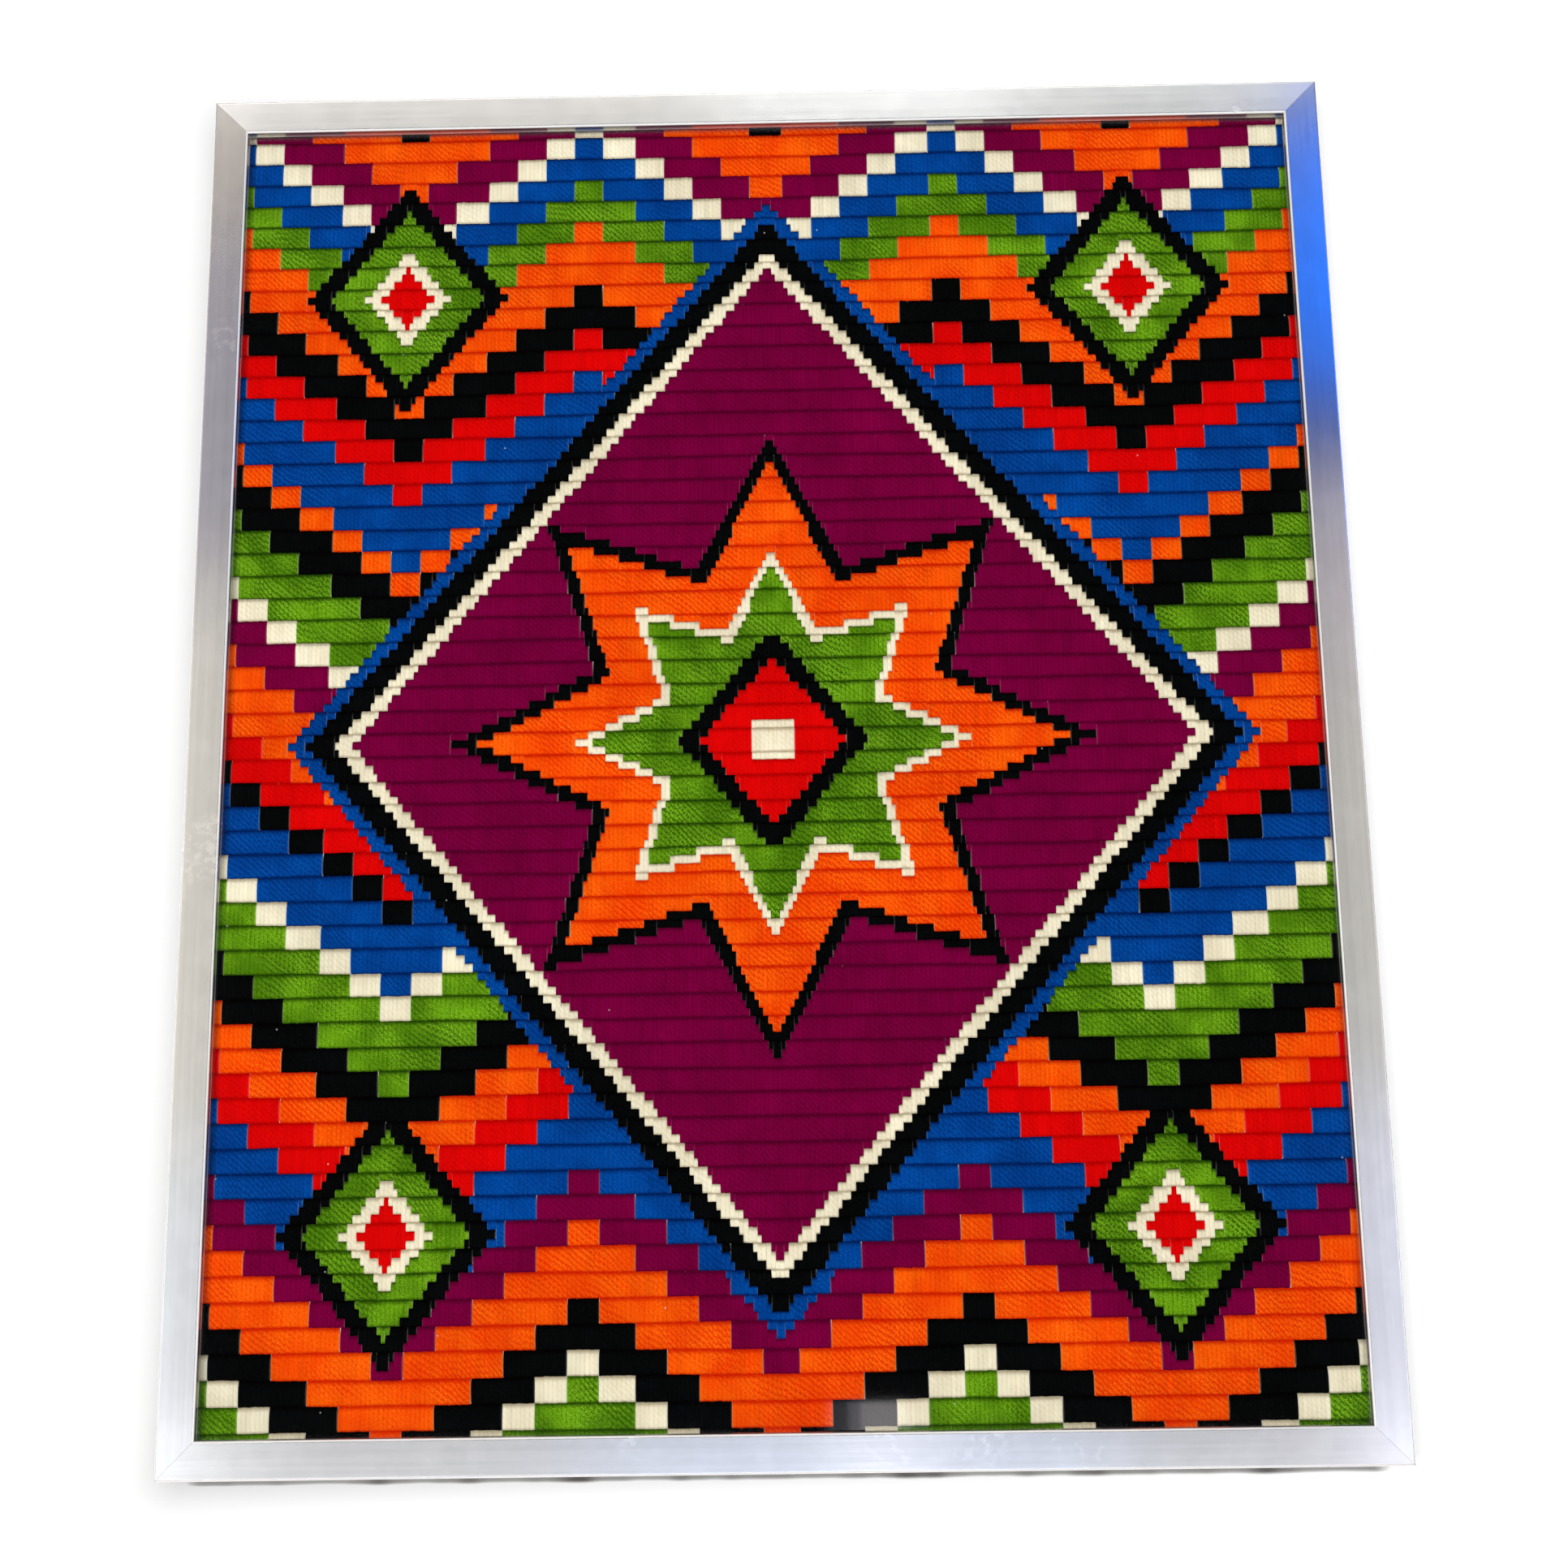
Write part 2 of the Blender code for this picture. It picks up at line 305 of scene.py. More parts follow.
@dataclass(frozen=True)
class WoolFinish:
    """Twisted wool yarn: the colour of its plies, and a darker copy of it that is painted shade in
    the hollows between plies and on the flanks and also makes random fading. The fibre colour is
    a painted highlight on fibres, and also the sheen's tint and pale fibres at colour edges. The
    groove shade colour is painted shade on ends sunk in the grooves between rows.

    The painted shade in the hollows, the painted shade on the flanks, and the mottle of painted
    fibre highlights and random fading have a strength each. Lengths along and across the
    yarn are in millimetres, as the surface map's are.
    """

    ply: Colour
    # Darker copy of the ply colour: painted shade in ply hollows and on flanks, and random fading.
    shade_and_fade: Colour
    # Lighter colour: painted highlight on fibres, and also the sheen's tint and fibres at colour edges.
    fibre: Colour
    # Painted shade on stitch ends that sink into the grooves between rows.
    groove_shade: Colour
    twist_hollow_shade: float
    mottle_and_highlight: float
    flank_shade: float
    bump: float = 0.55
    bump_depth: float = 0.3 * MM
    ply_spacing: float = 2.7
    ply_lean: float = 0.34
    crests: Ramp = (-0.9, 0.7)
    twist_patches: Clouds = Clouds(38.0, (0.34, 0.6, 0.2, 1.0), 1.0)
    half_stitch: float = 0.95
    flank_start: float = 0.45
    flank_patches: Clouds = Clouds(240.0, (0.35, 0.62, 0.35, 1.0), 1.0)
    fibres_per_turn: float = 5.0
    fibre_highlight_ramp: Ramp = (0.48, 0.72)
    fading: Clouds = Clouds(55.0, (0.3, 0.7))
    fading_share: float = 0.6
    fluff_scale: float = 1100.0
    fluff_share: float = 0.5
    verge_fibres: Ramp = (0.55, 1.0, 0.0, 0.35)
    verge_canvas: Ramp = (0.7, 1.0, 0.0, 0.07)
    canvas: Colour = (0.82, 0.79, 0.70)
    lint: Colour = (0.62, 0.62, 0.6)
    lint_cells: float = 42.0
    lint_size: Ramp = (0.006, 0.020, 0.7, 0.0)
    lint_rarity: float = 0.96

    def material(self, name: str) -> bpy.types.Material:
        """Makes the finish from the surface map, which gives the yarn across and along.

        Twist marks are a sine of the distance along plus a share of the distance across, and their
        hollows get painted shade. Fibres are noise stretched along the plies, and those that stand out
        get a painted highlight. The reading "verge" is 1 where another wool lies beside,
        "groove_shade_share" is 1 at ends sunk in the grooves, where shade is painted, and "shade"
        is the stitch's own tone.

        Args:
            name: The material's name.

        Returns:
            The material.
        """
        material, bench, shader = surface_material(
            name,
            Roughness=0.92,
            Specular_IOR_Level=0.01,
            Sheen_Weight=0.02,
            Sheen_Roughness=0.5,
            Sheen_Tint=self.fibre,
        )
        place = bench.place()
        across, along = bench.surface()
        leaning = bench.times(across, self.ply_lean)
        turns = bench.math("ADD", bench.math("DIVIDE", along, self.ply_spacing), leaning)
        crest = bench.ramp(bench.math("SINE", bench.times(turns, math.tau)), *self.crests)
        patch = bench.clouds(place, self.twist_patches)
        # Painted shade in the hollows between plies.
        ply_hollow_shade = bench.times(bench.math("SUBTRACT", 1.0, crest), patch)
        aside = bench.math("ABSOLUTE", across)
        # Painted shade on the flanks of each stitch, towards its sides.
        side = bench.ramp(aside, self.half_stitch * self.flank_start, self.half_stitch)
        side = bench.times(side, bench.clouds(place, self.flank_patches))
        strand = bench.times(turns, self.fibres_per_turn)
        fibres = bench.noise(bench.vector(strand, bench.math("SUBTRACT", along, across)), 1.0)
        # Painted highlight on the fibres that stand out.
        fibre_highlight = bench.ramp(fibres, *self.fibre_highlight_ramp)
        faded = bench.clouds(place, self.fading)
        verge = bench.reading("verge")
        colour = bench.layers(
            self.ply,
            (bench.times(ply_hollow_shade, self.twist_hollow_shade), self.shade_and_fade),
            (bench.times(side, self.flank_shade), self.shade_and_fade),
            (bench.times(fibre_highlight, self.mottle_and_highlight), self.fibre),
            (bench.times(faded, self.mottle_and_highlight * self.fading_share), self.shade_and_fade),
            (bench.ramp(verge, *self.verge_fibres), self.fibre),
            (bench.ramp(verge, *self.verge_canvas), self.canvas),
        )
        shade = bench.reading("shade")
        shaded = bench.blend(1.0, colour, bench.vector(shade, shade, shade), "MULTIPLY")
        # Painted shade in the grooves between rows.
        groove_shading = bench.ramp(bench.reading("groove_shade_share"), 0.0, 1.0)
        colour = bench.layers(shaded, (groove_shading, self.groove_shade), (self.specks(bench, place), self.lint))
        bench.feed(shader.inputs["Base Color"], colour)
        fluff = bench.times(bench.noise(place, self.fluff_scale, detail=0.0), self.fluff_share)
        height = bench.math("ADD", bench.times(crest, patch), bench.math("ADD", fibres, fluff))
        bench.bump(shader, self.bump, self.bump_depth, height)
        return material

    def specks(self, bench: Bench, place: Input) -> Socket:
        """Specks of lint: the middles of the odd cell in a loose pattern of cells.

        Args:
            bench: The bench on the finish's nodes.
            place: The point on the piece.

        Returns:
            The share of lint.
        """
        inputs = {"Vector": place, "Scale": self.lint_cells}
        cells = bench.add("TexVoronoi", inputs, voronoi_dimensions="2D")
        near = bench.ramp(cells.outputs["Distance"], *self.lint_size)
        rank = bench.parts(cells.outputs["Color"])[0]
        return bench.times(near, bench.math("GREATER_THAN", rank, self.lint_rarity))


WOOLS = {
    Wool.RED: WoolFinish(
        ply=(0.76, 0.001, 0.001), shade_and_fade=(0.50, 0.0, 0.0),
        fibre=(0.92, 0.012, 0.012), groove_shade=(0.50, 0.0, 0.0),
        twist_hollow_shade=0.3, mottle_and_highlight=0.3, flank_shade=0.25,
    ),
    Wool.PLUM: WoolFinish(
        ply=(0.200, 0.0, 0.045), shade_and_fade=(0.110, 0.0, 0.024),
        fibre=(0.34, 0.001, 0.080), groove_shade=(0.105, 0.0, 0.023),
        twist_hollow_shade=0.5, mottle_and_highlight=0.6, flank_shade=0.35,
    ),
    Wool.ORANGE: WoolFinish(
        ply=(1.0, 0.112, 0.0), shade_and_fade=(0.80, 0.021, 0.0),
        fibre=(1.0, 0.30, 0.02), groove_shade=(0.64, 0.011, 0.0),
        twist_hollow_shade=0.95, mottle_and_highlight=0.8, flank_shade=0.6,
    ),
    Wool.GREEN: WoolFinish(
        ply=(0.140, 0.35, 0.002), shade_and_fade=(0.018, 0.080, 0.0),
        fibre=(0.37, 0.62, 0.055), groove_shade=(0.012, 0.050, 0.0),
        twist_hollow_shade=0.88, mottle_and_highlight=0.95, flank_shade=0.6,
    ),
    Wool.BLUE: WoolFinish(
        ply=(0.0, 0.062, 0.34), shade_and_fade=(0.0, 0.022, 0.155),
        fibre=(0.008, 0.15, 0.55), groove_shade=(0.0, 0.014, 0.11),
        twist_hollow_shade=0.75, mottle_and_highlight=0.65, flank_shade=0.4,
    ),
    Wool.BLACK: WoolFinish(
        ply=(0.0015, 0.0018, 0.0019), shade_and_fade=(0.0004, 0.0005, 0.0005),
        fibre=(0.007, 0.0078, 0.0084), groove_shade=(0.0003, 0.0003, 0.0003),
        twist_hollow_shade=0.6, mottle_and_highlight=0.6, flank_shade=0.5,
    ),
    Wool.ECRU: WoolFinish(
        ply=(0.96, 0.86, 0.66), shade_and_fade=(0.60, 0.48, 0.31),
        fibre=(1.0, 0.95, 0.84), groove_shade=(0.46, 0.37, 0.24),
        twist_hollow_shade=0.22, mottle_and_highlight=0.5, flank_shade=0.35, bump=0.3,
    ),
}


@dataclass(frozen=True)
class Ring:
    """One band of a motif, from the ring inside it out to its reach."""

    reach: float
    wool: Wool


class Outline(Enum):
    """The outlines that motifs have."""

    LOZENGE = "lozenge"
    SQUARE = "square"
    STAR = "eight-pointed star"


@dataclass(frozen=True)
class Motif:
    """Nested bands of one outline, alike in all four quarters of the picture."""

    outline: Outline
    rings: tuple[Ring, ...]
    centre: Pair = (0.0, 0.0)
    lozenge_height: float = 1.2
    star_waist: float = 0.6

    def level(self, x: Floats, y: Floats) -> Floats:
        """How far out a point lies, as the reach of the outline that goes through it.

        A lozenge's level is the distance aside plus a share of the distance up. A square's
        is the larger of the two. A star's is the radius times the cosine of the angle from
        the nearest point's line plus a share of its sine, which is straight from tip to waist.

        Args:
            x: Distances from the picture's middle line, in millimetres.
            y: Distances from its middle height.

        Returns:
            The level at each point.
        """
        aside = np.abs(np.abs(x) - self.centre[0])
        up = np.abs(np.abs(y) - self.centre[1])
        if self.outline is Outline.LOZENGE:
            return aside + up / self.lozenge_height
        if self.outline is Outline.SQUARE:
            return np.maximum(aside, up)
        half_point = math.pi / 8
        angle = np.abs((np.arctan2(up, aside) + half_point) % (2 * half_point) - half_point)
        share = (1 - self.star_waist * math.cos(half_point)) / (self.star_waist * math.sin(half_point))
        return np.hypot(aside, up) * (np.cos(angle) + share * np.sin(angle))

    def paint(self, cells: Ints, x: Floats, y: Floats) -> None:
        """Gives the cells inside the motif the wool of the ring that they lie in.

        Args:
            cells: The wool of each cell, which is changed.
            x: Distances of the cells from the picture's middle line, in millimetres.
            y: Their distances from its middle height.
        """
        reaches = np.array([ring.reach for ring in self.rings])
        wools = np.array([ring.wool for ring in self.rings])
        ring = np.searchsorted(reaches, self.level(x, y))
        inside = ring < len(reaches)
        cells[inside] = wools[ring[inside]]


@dataclass(frozen=True)
class Design:
    """A blanket-like design: stepped zigzag bands, a large lozenge with a star, and small lozenges."""

    zigzag_width: float = 164.0
    zigzag_rows: int = 3
    widest_speck: int = 5
    bands: tuple[tuple[Wool, int], ...] = (
        (Wool.GREEN, 3), (Wool.ECRU, 1), (Wool.BLACK, 2), (Wool.ORANGE, 3), (Wool.PLUM, 2),
        (Wool.BLUE, 3), (Wool.RED, 2), (Wool.ORANGE, 2), (Wool.BLACK, 2), (Wool.GREEN, 3),
        (Wool.ECRU, 1), (Wool.BLUE, 3), (Wool.BLACK, 1), (Wool.RED, 2), (Wool.ORANGE, 3),
        (Wool.PLUM, 2), (Wool.ECRU, 1), (Wool.GREEN, 3), (Wool.BLACK, 2), (Wool.ORANGE, 1),
        (Wool.BLUE, 3), (Wool.RED, 2), (Wool.BLACK, 2), (Wool.ORANGE, 3), (Wool.GREEN, 2),
        (Wool.BLUE, 2), (Wool.ECRU, 1), (Wool.PLUM, 2), (Wool.ORANGE, 3), (Wool.BLACK, 2),
    )
    motifs: tuple[Motif, ...] = (
        Motif(
            Outline.LOZENGE,
            (Ring(186, Wool.PLUM), Ring(194, Wool.ECRU), Ring(206, Wool.BLACK), Ring(214, Wool.BLUE)),
        ),
        Motif(
            Outline.STAR,
            (Ring(80, Wool.GREEN), Ring(88, Wool.ECRU), Ring(130, Wool.ORANGE), Ring(142, Wool.BLACK)),
        ),
        Motif(Outline.LOZENGE, (Ring(32, Wool.RED), Ring(42, Wool.BLACK))),
        Motif(Outline.SQUARE, (Ring(10, Wool.ECRU),)),
        Motif(
            Outline.LOZENGE,
            (Ring(12, Wool.RED), Ring(20, Wool.ECRU), Ring(36, Wool.GREEN), Ring(46, Wool.BLACK)),
            centre=(166.05, 211.2),
        ),
    )

    def cells(self, x: Floats, y: Floats, row: Ints) -> Ints:
        """Which wool fills each cell, a third of a row high and one stitch wide.

        The bands lie along the rows and shift up and down by whole rows. The shift is a
        triangle wave across the picture, highest on the middle line.

        Args:
            x: Middles of the columns, in millimetres.
            y: Middles of the thirds.
            row: The row that each third is in.

        Returns:
            The wool of each third and column.
        """
        triangle = np.abs((x / self.zigzag_width) % 1.0 - 0.5) * 4 - 1
        shift = np.rint(self.zigzag_rows * (triangle + 1)).astype(int)
        tops = np.cumsum([rows for _, rows in self.bands])
        wools = np.array([wool for wool, _ in self.bands])
        band = np.searchsorted(tops, row[:, None] + shift[None, :], side="right")
        cells = wools[np.minimum(band, len(wools) - 1)]
        grid_x, grid_y = np.meshgrid(x, y)
        for motif in self.motifs:
            motif.paint(cells, grid_x, grid_y)
        self.drop_specks(cells)
        return cells

    def drop_specks(self, cells: Ints) -> None:
        """Gives each speck the wool on both its sides.

        A speck is a run of a few cells in one third, with another wool above, below and on
        both sides, where the two sides are alike.

        Args:
            cells: The wool of each third and column, which is changed.
        """
        for width in range(1, self.widest_speck + 1):
            left, right = cells[:, :-width - 1], cells[:, width + 1:]
            first = cells[:, 1:-width]
            speck = (left == right) & (left != first)
            padded = np.pad(cells, ((1, 1), (0, 0)), constant_values=-1)
            for step in range(width):
                columns = slice(1 + step, cells.shape[1] - width + step)
                apart = (padded[:-2, columns] != first) & (padded[2:, columns] != first)
                speck &= (cells[:, columns] == first) & apart
            third, column = np.nonzero(speck)
            for step in range(width):
                cells[third, column + 1 + step] = left[third, column]


@dataclass(frozen=True)
class Wander:
    """One wave of the grooves between rows: its size, its length, and its turn from row to row."""

    size: float
    wave: float
    turn: float


@dataclass(frozen=True)
class Drift:
    """A smooth unevenness over the picture: its size and the length of its waves."""

    size: float
    wave: float
    waves: int = 5

    def field(self, x: Floats, y: Floats, rng: np.random.Generator) -> Floats:
        """The unevenness at each place, from about minus its size to its size.

        It is the size times the sum of a few cosines in random directions, over half their number.

        Args:
            x: Where across the picture.
            y: Where up the picture.
            rng: What the directions and phases are drawn from.

        Returns:
            The value at each place.
        """
        total = np.zeros_like(x)
        for angle, phase in rng.uniform(0, math.tau, (self.waves, 2)):
            total += np.cos((x * math.cos(angle) + y * math.sin(angle)) * math.tau / self.wave + phase)
        return self.size * total / (self.waves / 2)


@dataclass
class Stitches:
    """Every stitch by its row, its column, its first and last third, and its wool."""

    row: Ints
    column: Ints
    start: Ints
    end: Ints
    wool: Ints
    open_left: NDArray[np.bool_]
    open_right: NDArray[np.bool_]

    @property
    def thirds(self) -> Ints:
        """How many thirds of a row each stitch is long."""
        return self.end - self.start


@dataclass
class Yarn:
    """The yarn of every stitch: its points, and the surface map and the readings of each point.

    Spine and middle say where each stitch lies, across the picture and up it.
    """

    points: Floats
    spine: Floats
    middle: Floats
    flat: Floats | None = None
    readings: dict[str, Floats] | None = None


@dataclass(frozen=True)
class Needlework:
    """Canvas worked all over with upright long stitches, and the yarn of each stitch.

    Widths of a stitch are shares of the pitch. A tuple of numbers goes across a stitch from
    left to right, or along it from its low end to its high one.
    """

    columns: int = 264
    rows: int = 57
    stitched_width: float = 501.0 * MM
    row_height: float = 10.56 * MM
    canvas_thickness: float = 0.7 * MM
    canvas_grid: tuple[int, int] = (34, 41)
    foot_sink: float = 0.05 * MM
    stitch_height: float = 1.84 * MM
    short_stitch_drop: float = 0.14 * MM
    end_overlap: float = 0.36 * MM
    end_gap: float = 0.3 * MM
    low_shoulder: float = 1.5 * MM
    low_shoulder_share: float = 0.45
    high_shoulder: float = 2.6 * MM
    high_shoulder_share: float = 0.7
    along_power: float = 1.9
    along_power_of_third: float = 0.2
    half_width: float = 0.62
    half_width_at_edge: float = 0.51
    across: tuple[float, ...] = (-1.0, -0.8, 0.0, 0.8, 1.0)
    across_power: float = 2.8
    across_slope: tuple[float, ...] = (-2.0, -0.42, 0.0, 0.42, 2.0)
    taper: tuple[float, ...] = (0.92, 1.0, 1.0, 1.0, 0.92)
    along_slope: tuple[float, ...] = (-0.7, -0.22, 0.0, 0.22, 1.1)
    end_slope: float = 3.0
    # Share of painted groove shade at each ring, from the low end to the high one; both end points get
    # 1.
    groove_shade_share: tuple[float, ...] = (0.8, 0.0, 0.0, 0.08, 0.9)
    wanders: tuple[Wander, ...] = (
        Wander(0.40 * MM, 310 * MM, 0.37),
        Wander(0.25 * MM, 170 * MM, 0.83),
        Wander(0.10 * MM, 46 * MM, 0.29),
    )
    end_jitter: float = 0.06 * MM
    slack: Drift = Drift(0.05 * MM, 60 * MM)
    slack_jitter: float = 0.045 * MM
    slack_range: Pair = (-0.14 * MM, 0.11 * MM)
    plump_jitter: float = 0.03
    side_jitter: float = 0.045 * MM
    lean_jitter: float = 0.06 * MM
    lie_turn: float = 0.92
    lie_drift: Drift = Drift(2.0 * MM, 35 * MM)
    lie_jitter: float = 0.5 * MM
    unrest: Drift = Drift(1.6, 28 * MM)
    least_unrest: float = 0.4
    tone_drift: Drift = Drift(0.04, 90 * MM)
    tone_jitter: float = 0.03
    most_triangles: int = 190_000
    seed: int = 11
    design: Design = Design()

    @property
    def pitch(self) -> float:
        """The distance from one stitch to the next."""
        return self.stitched_width / self.columns

    @property
    def points_each(self) -> int:
        """How many points a stitch has: those of its rings, and one at each end."""
        return len(self.across) * len(self.taper) + 2

    @property
    def canvas_face(self) -> float:
        """The height of the canvas's front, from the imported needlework."""
        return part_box("needlework")[0].z + self.canvas_thickness

    def column_x(self, column: Ints) -> Floats:
        """The middle of a column."""
        return (column + 0.5 - self.columns / 2) * self.pitch

    def cut(self) -> Stitches:
        """Cuts each row of each column into stitches, one for each run of thirds of one wool.

        Returns:
            All the stitches, row by row.
        """
        thirds = np.arange(self.rows * 3)
        x = self.column_x(np.arange(self.columns)) / MM
        y = (thirds + 0.5 - self.rows * 1.5) * self.row_height / 3 / MM
        cells = self.design.cells(x, y, thirds // 3).reshape(self.rows, 3, self.columns)
        low, middle, high = cells[:, 0], cells[:, 1], cells[:, 2]
        first, second = low != middle, middle != high
        starts = np.stack([np.ones_like(first), first, second], axis=1)
        middle_end = np.where(second, 2, 3)
        low_end = np.where(first, 1, middle_end)
        ends = np.stack([low_end, middle_end, np.full_like(middle_end, 3)], axis=1)
        row, start, column = np.nonzero(starts)
        end = ends[row, start, column]
        wool = cells[row, start, column]
        sampled = (start + end - 1) // 2
        padded = np.pad(cells, ((0, 0), (0, 0), (1, 1)), constant_values=-1)
        open_left = padded[row, sampled, column] != wool
        open_right = padded[row, sampled, column + 2] != wool
        return Stitches(row, column, start, end, wool, open_left, open_right)

    def groove(self, line: Ints, x: Floats) -> Floats:
        """The height up the picture of a groove between rows.

        It is the row's place plus waves: each is its size, times the cosine of x over its
        length, times the cosine of its turn for each row. The first and last stay straight.

        Args:
            line: Which groove, from 0 at the bottom.
            x: Where across the picture.

        Returns:
            The groove's y.
        """
        waves = sum(
            wander.size * np.cos(math.tau * x / wander.wave) * np.cos(math.tau * wander.turn * line)
            for wander in self.wanders
        )
        inner = (line > 0) & (line < self.rows)
        return (line - self.rows / 2) * self.row_height + np.where(inner, waves, 0.0)

    def shape(self, stitches: Stitches, rng: np.random.Generator) -> Yarn:
        """The shape of every stitch, as five rings of five points between two ends.

        A ring lies at a share a of the half length and a point of it at a share b of the half
        width. The height is the stitch's own, times (1 - |a|^p)^(1/p), times the same of b
        with its own power. Longer stitches have a larger p, so they are flatter on top.

        Args:
            stitches: The stitches.
            rng: What their unevenness is drawn from.

        Returns:
            The yarn, with the points of each stitch, its spine and its middle.
        """
        count = len(stitches.row)
        x = self.column_x(stitches.column)
        low, high = self.groove(stitches.row, x), self.groove(stitches.row + 1, x)
        bottom = low + (high - low) * stitches.start / 3 - self.end_overlap
        bottom += rng.normal(0, self.end_jitter, count)
        top = low + (high - low) * stitches.end / 3 + self.end_overlap
        top += rng.normal(0, self.end_jitter, count)
        half, middle = (top - bottom) / 2, (top + bottom) / 2
        near = 1 - self.end_gap / half
        low_turn = 1 - np.minimum(self.low_shoulder, self.low_shoulder_share * half) / half
        high_turn = 1 - np.minimum(self.high_shoulder, self.high_shoulder_share * half) / half
        a = np.stack([-near, -low_turn, np.zeros(count), high_turn, near], axis=1)
        power = (self.along_power + self.along_power_of_third * stitches.thirds)[:, None]
        rise_along = (1 - np.abs(a) ** power) ** (1 / power)
        b = np.array(self.across)
        rise_across = (1 - np.abs(b) ** self.across_power) ** (1 / self.across_power)
        slack = self.slack.field(x, middle, rng) + rng.normal(0, self.slack_jitter, count)
        height = self.stitch_height - self.short_stitch_drop * (3 - stitches.thirds)
        height += np.clip(slack, *self.slack_range)
        left = np.where(stitches.open_left, self.half_width_at_edge, self.half_width)
        right = np.where(stitches.open_right, self.half_width_at_edge, self.half_width)
        plump = 1 + rng.normal(0, self.plump_jitter, count)
        side = np.where(b < 0, left[:, None], right[:, None]) * self.pitch * plump[:, None]
        spine = x + rng.normal(0, self.side_jitter, count)
        lean = rng.normal(0, self.lean_jitter, count)
        foot = self.canvas_face - self.foot_sink
        ring_middle = (spine[:, None] + lean[:, None] * a)[:, :, None]
        ring_x = ring_middle + (side * b)[:, None, :] * np.array(self.taper)[None, :, None]
        ring_y = np.broadcast_to((middle[:, None] + half[:, None] * a)[:, :, None], ring_x.shape)
        ring_z = foot + height[:, None, None] * rise_along[:, :, None] * rise_across
        rings = np.stack([ring_x, ring_y, ring_z], axis=-1).reshape(count, -1, 3)
        low_end = np.stack([spine - lean, bottom, np.full(count, foot)], axis=1)[:, None]
        high_end = np.stack([spine + lean, top, np.full(count, foot)], axis=1)[:, None]
        return Yarn(np.concatenate([low_end, rings, high_end], axis=1), spine, middle)

    def mark(self, yarn: Yarn, stitches: Stitches, rng: np.random.Generator) -> None:
        """Works out the surface map and the readings of every stitch.

        The map is the distance from the spine, and the distance up the picture plus a slip
        along the yarn. The slip is a turn times the spine's place, plus a drift and a jitter,
        so that twist marks slant over neighbouring stitches and are uneven here and there.

        Args:
            yarn: The yarn, which gets its map and readings.
            stitches: The stitches.
            rng: What their unevenness is drawn from.
        """
        place = self.column_x(stitches.column), yarn.middle
        unrest = self.least_unrest + np.clip(self.unrest.field(*place, rng), 0, self.unrest.size)
        slip = self.lie_turn * yarn.spine + self.lie_drift.field(*place, rng)
        slip += rng.normal(0, self.lie_jitter * unrest)
        across = yarn.points[:, :, 0] - yarn.spine[:, None]
        along = yarn.points[:, :, 1] + slip[:, None]
        yarn.flat = np.stack([across, along], axis=-1) / MM
        count, each = along.shape
        shade = 1 + self.tone_drift.field(*place, rng) + rng.normal(0, self.tone_jitter, count)
        verge = np.zeros((count, len(self.taper), len(self.across)))
        verge[:, :, :2] = stitches.open_left[:, None, None]
        verge[:, :, -2:] = stitches.open_right[:, None, None]
        # Painted shade in the grooves between rows, strongest at each stitch's sunk ends.
        groove_shade_share = np.concatenate([[1.0], np.repeat(self.groove_shade_share, len(self.across)), [1.0]])
        yarn.readings = {
            "shade": np.repeat(shade[:, None], each, axis=1),
            "verge": np.pad(verge.reshape(count, -1), ((0, 0), (1, 1))),
            "groove_shade_share": np.tile(groove_shade_share, (count, 1)),
        }

    def normals(self) -> Floats:
        """The normals at one stitch's points, from its slopes across and along and 1 upwards.

        Returns:
            The normals, of unit length.
        """
        across = np.pad(np.tile(self.across_slope, len(self.taper)), 1)
        rings = np.repeat(self.along_slope, len(self.across))
        along = np.concatenate([[-self.end_slope], rings, [self.end_slope]])
        normals = np.stack([across, along, np.ones_like(along)], axis=1)
        return normals / np.linalg.norm(normals, axis=1, keepdims=True)

    def stitch_faces(self) -> tuple[Ints, Ints]:
        """Faces of one stitch: fans of triangles at its two ends and quads between its rings.

        Returns:
            The triangles and the quads, which point outwards.
        """
        wide, long = len(self.across), len(self.taper)
        last = self.points_each - 1
        last_ring = last - wide
        k = np.arange(wide)
        onward = (k + 1) % wide
        low_fan = np.stack([np.zeros(wide, int), 1 + onward, 1 + k], axis=1)
        high_fan = np.stack([np.full(wide, last), last_ring + k, last_ring + onward], axis=1)
        ring = 1 + wide * np.arange(long - 1)[:, None]
        quads = np.stack([ring + k, ring + onward, ring + wide + onward, ring + wide + k], axis=-1)
        return np.concatenate([low_fan, high_fan]), quads.reshape(-1, 4)

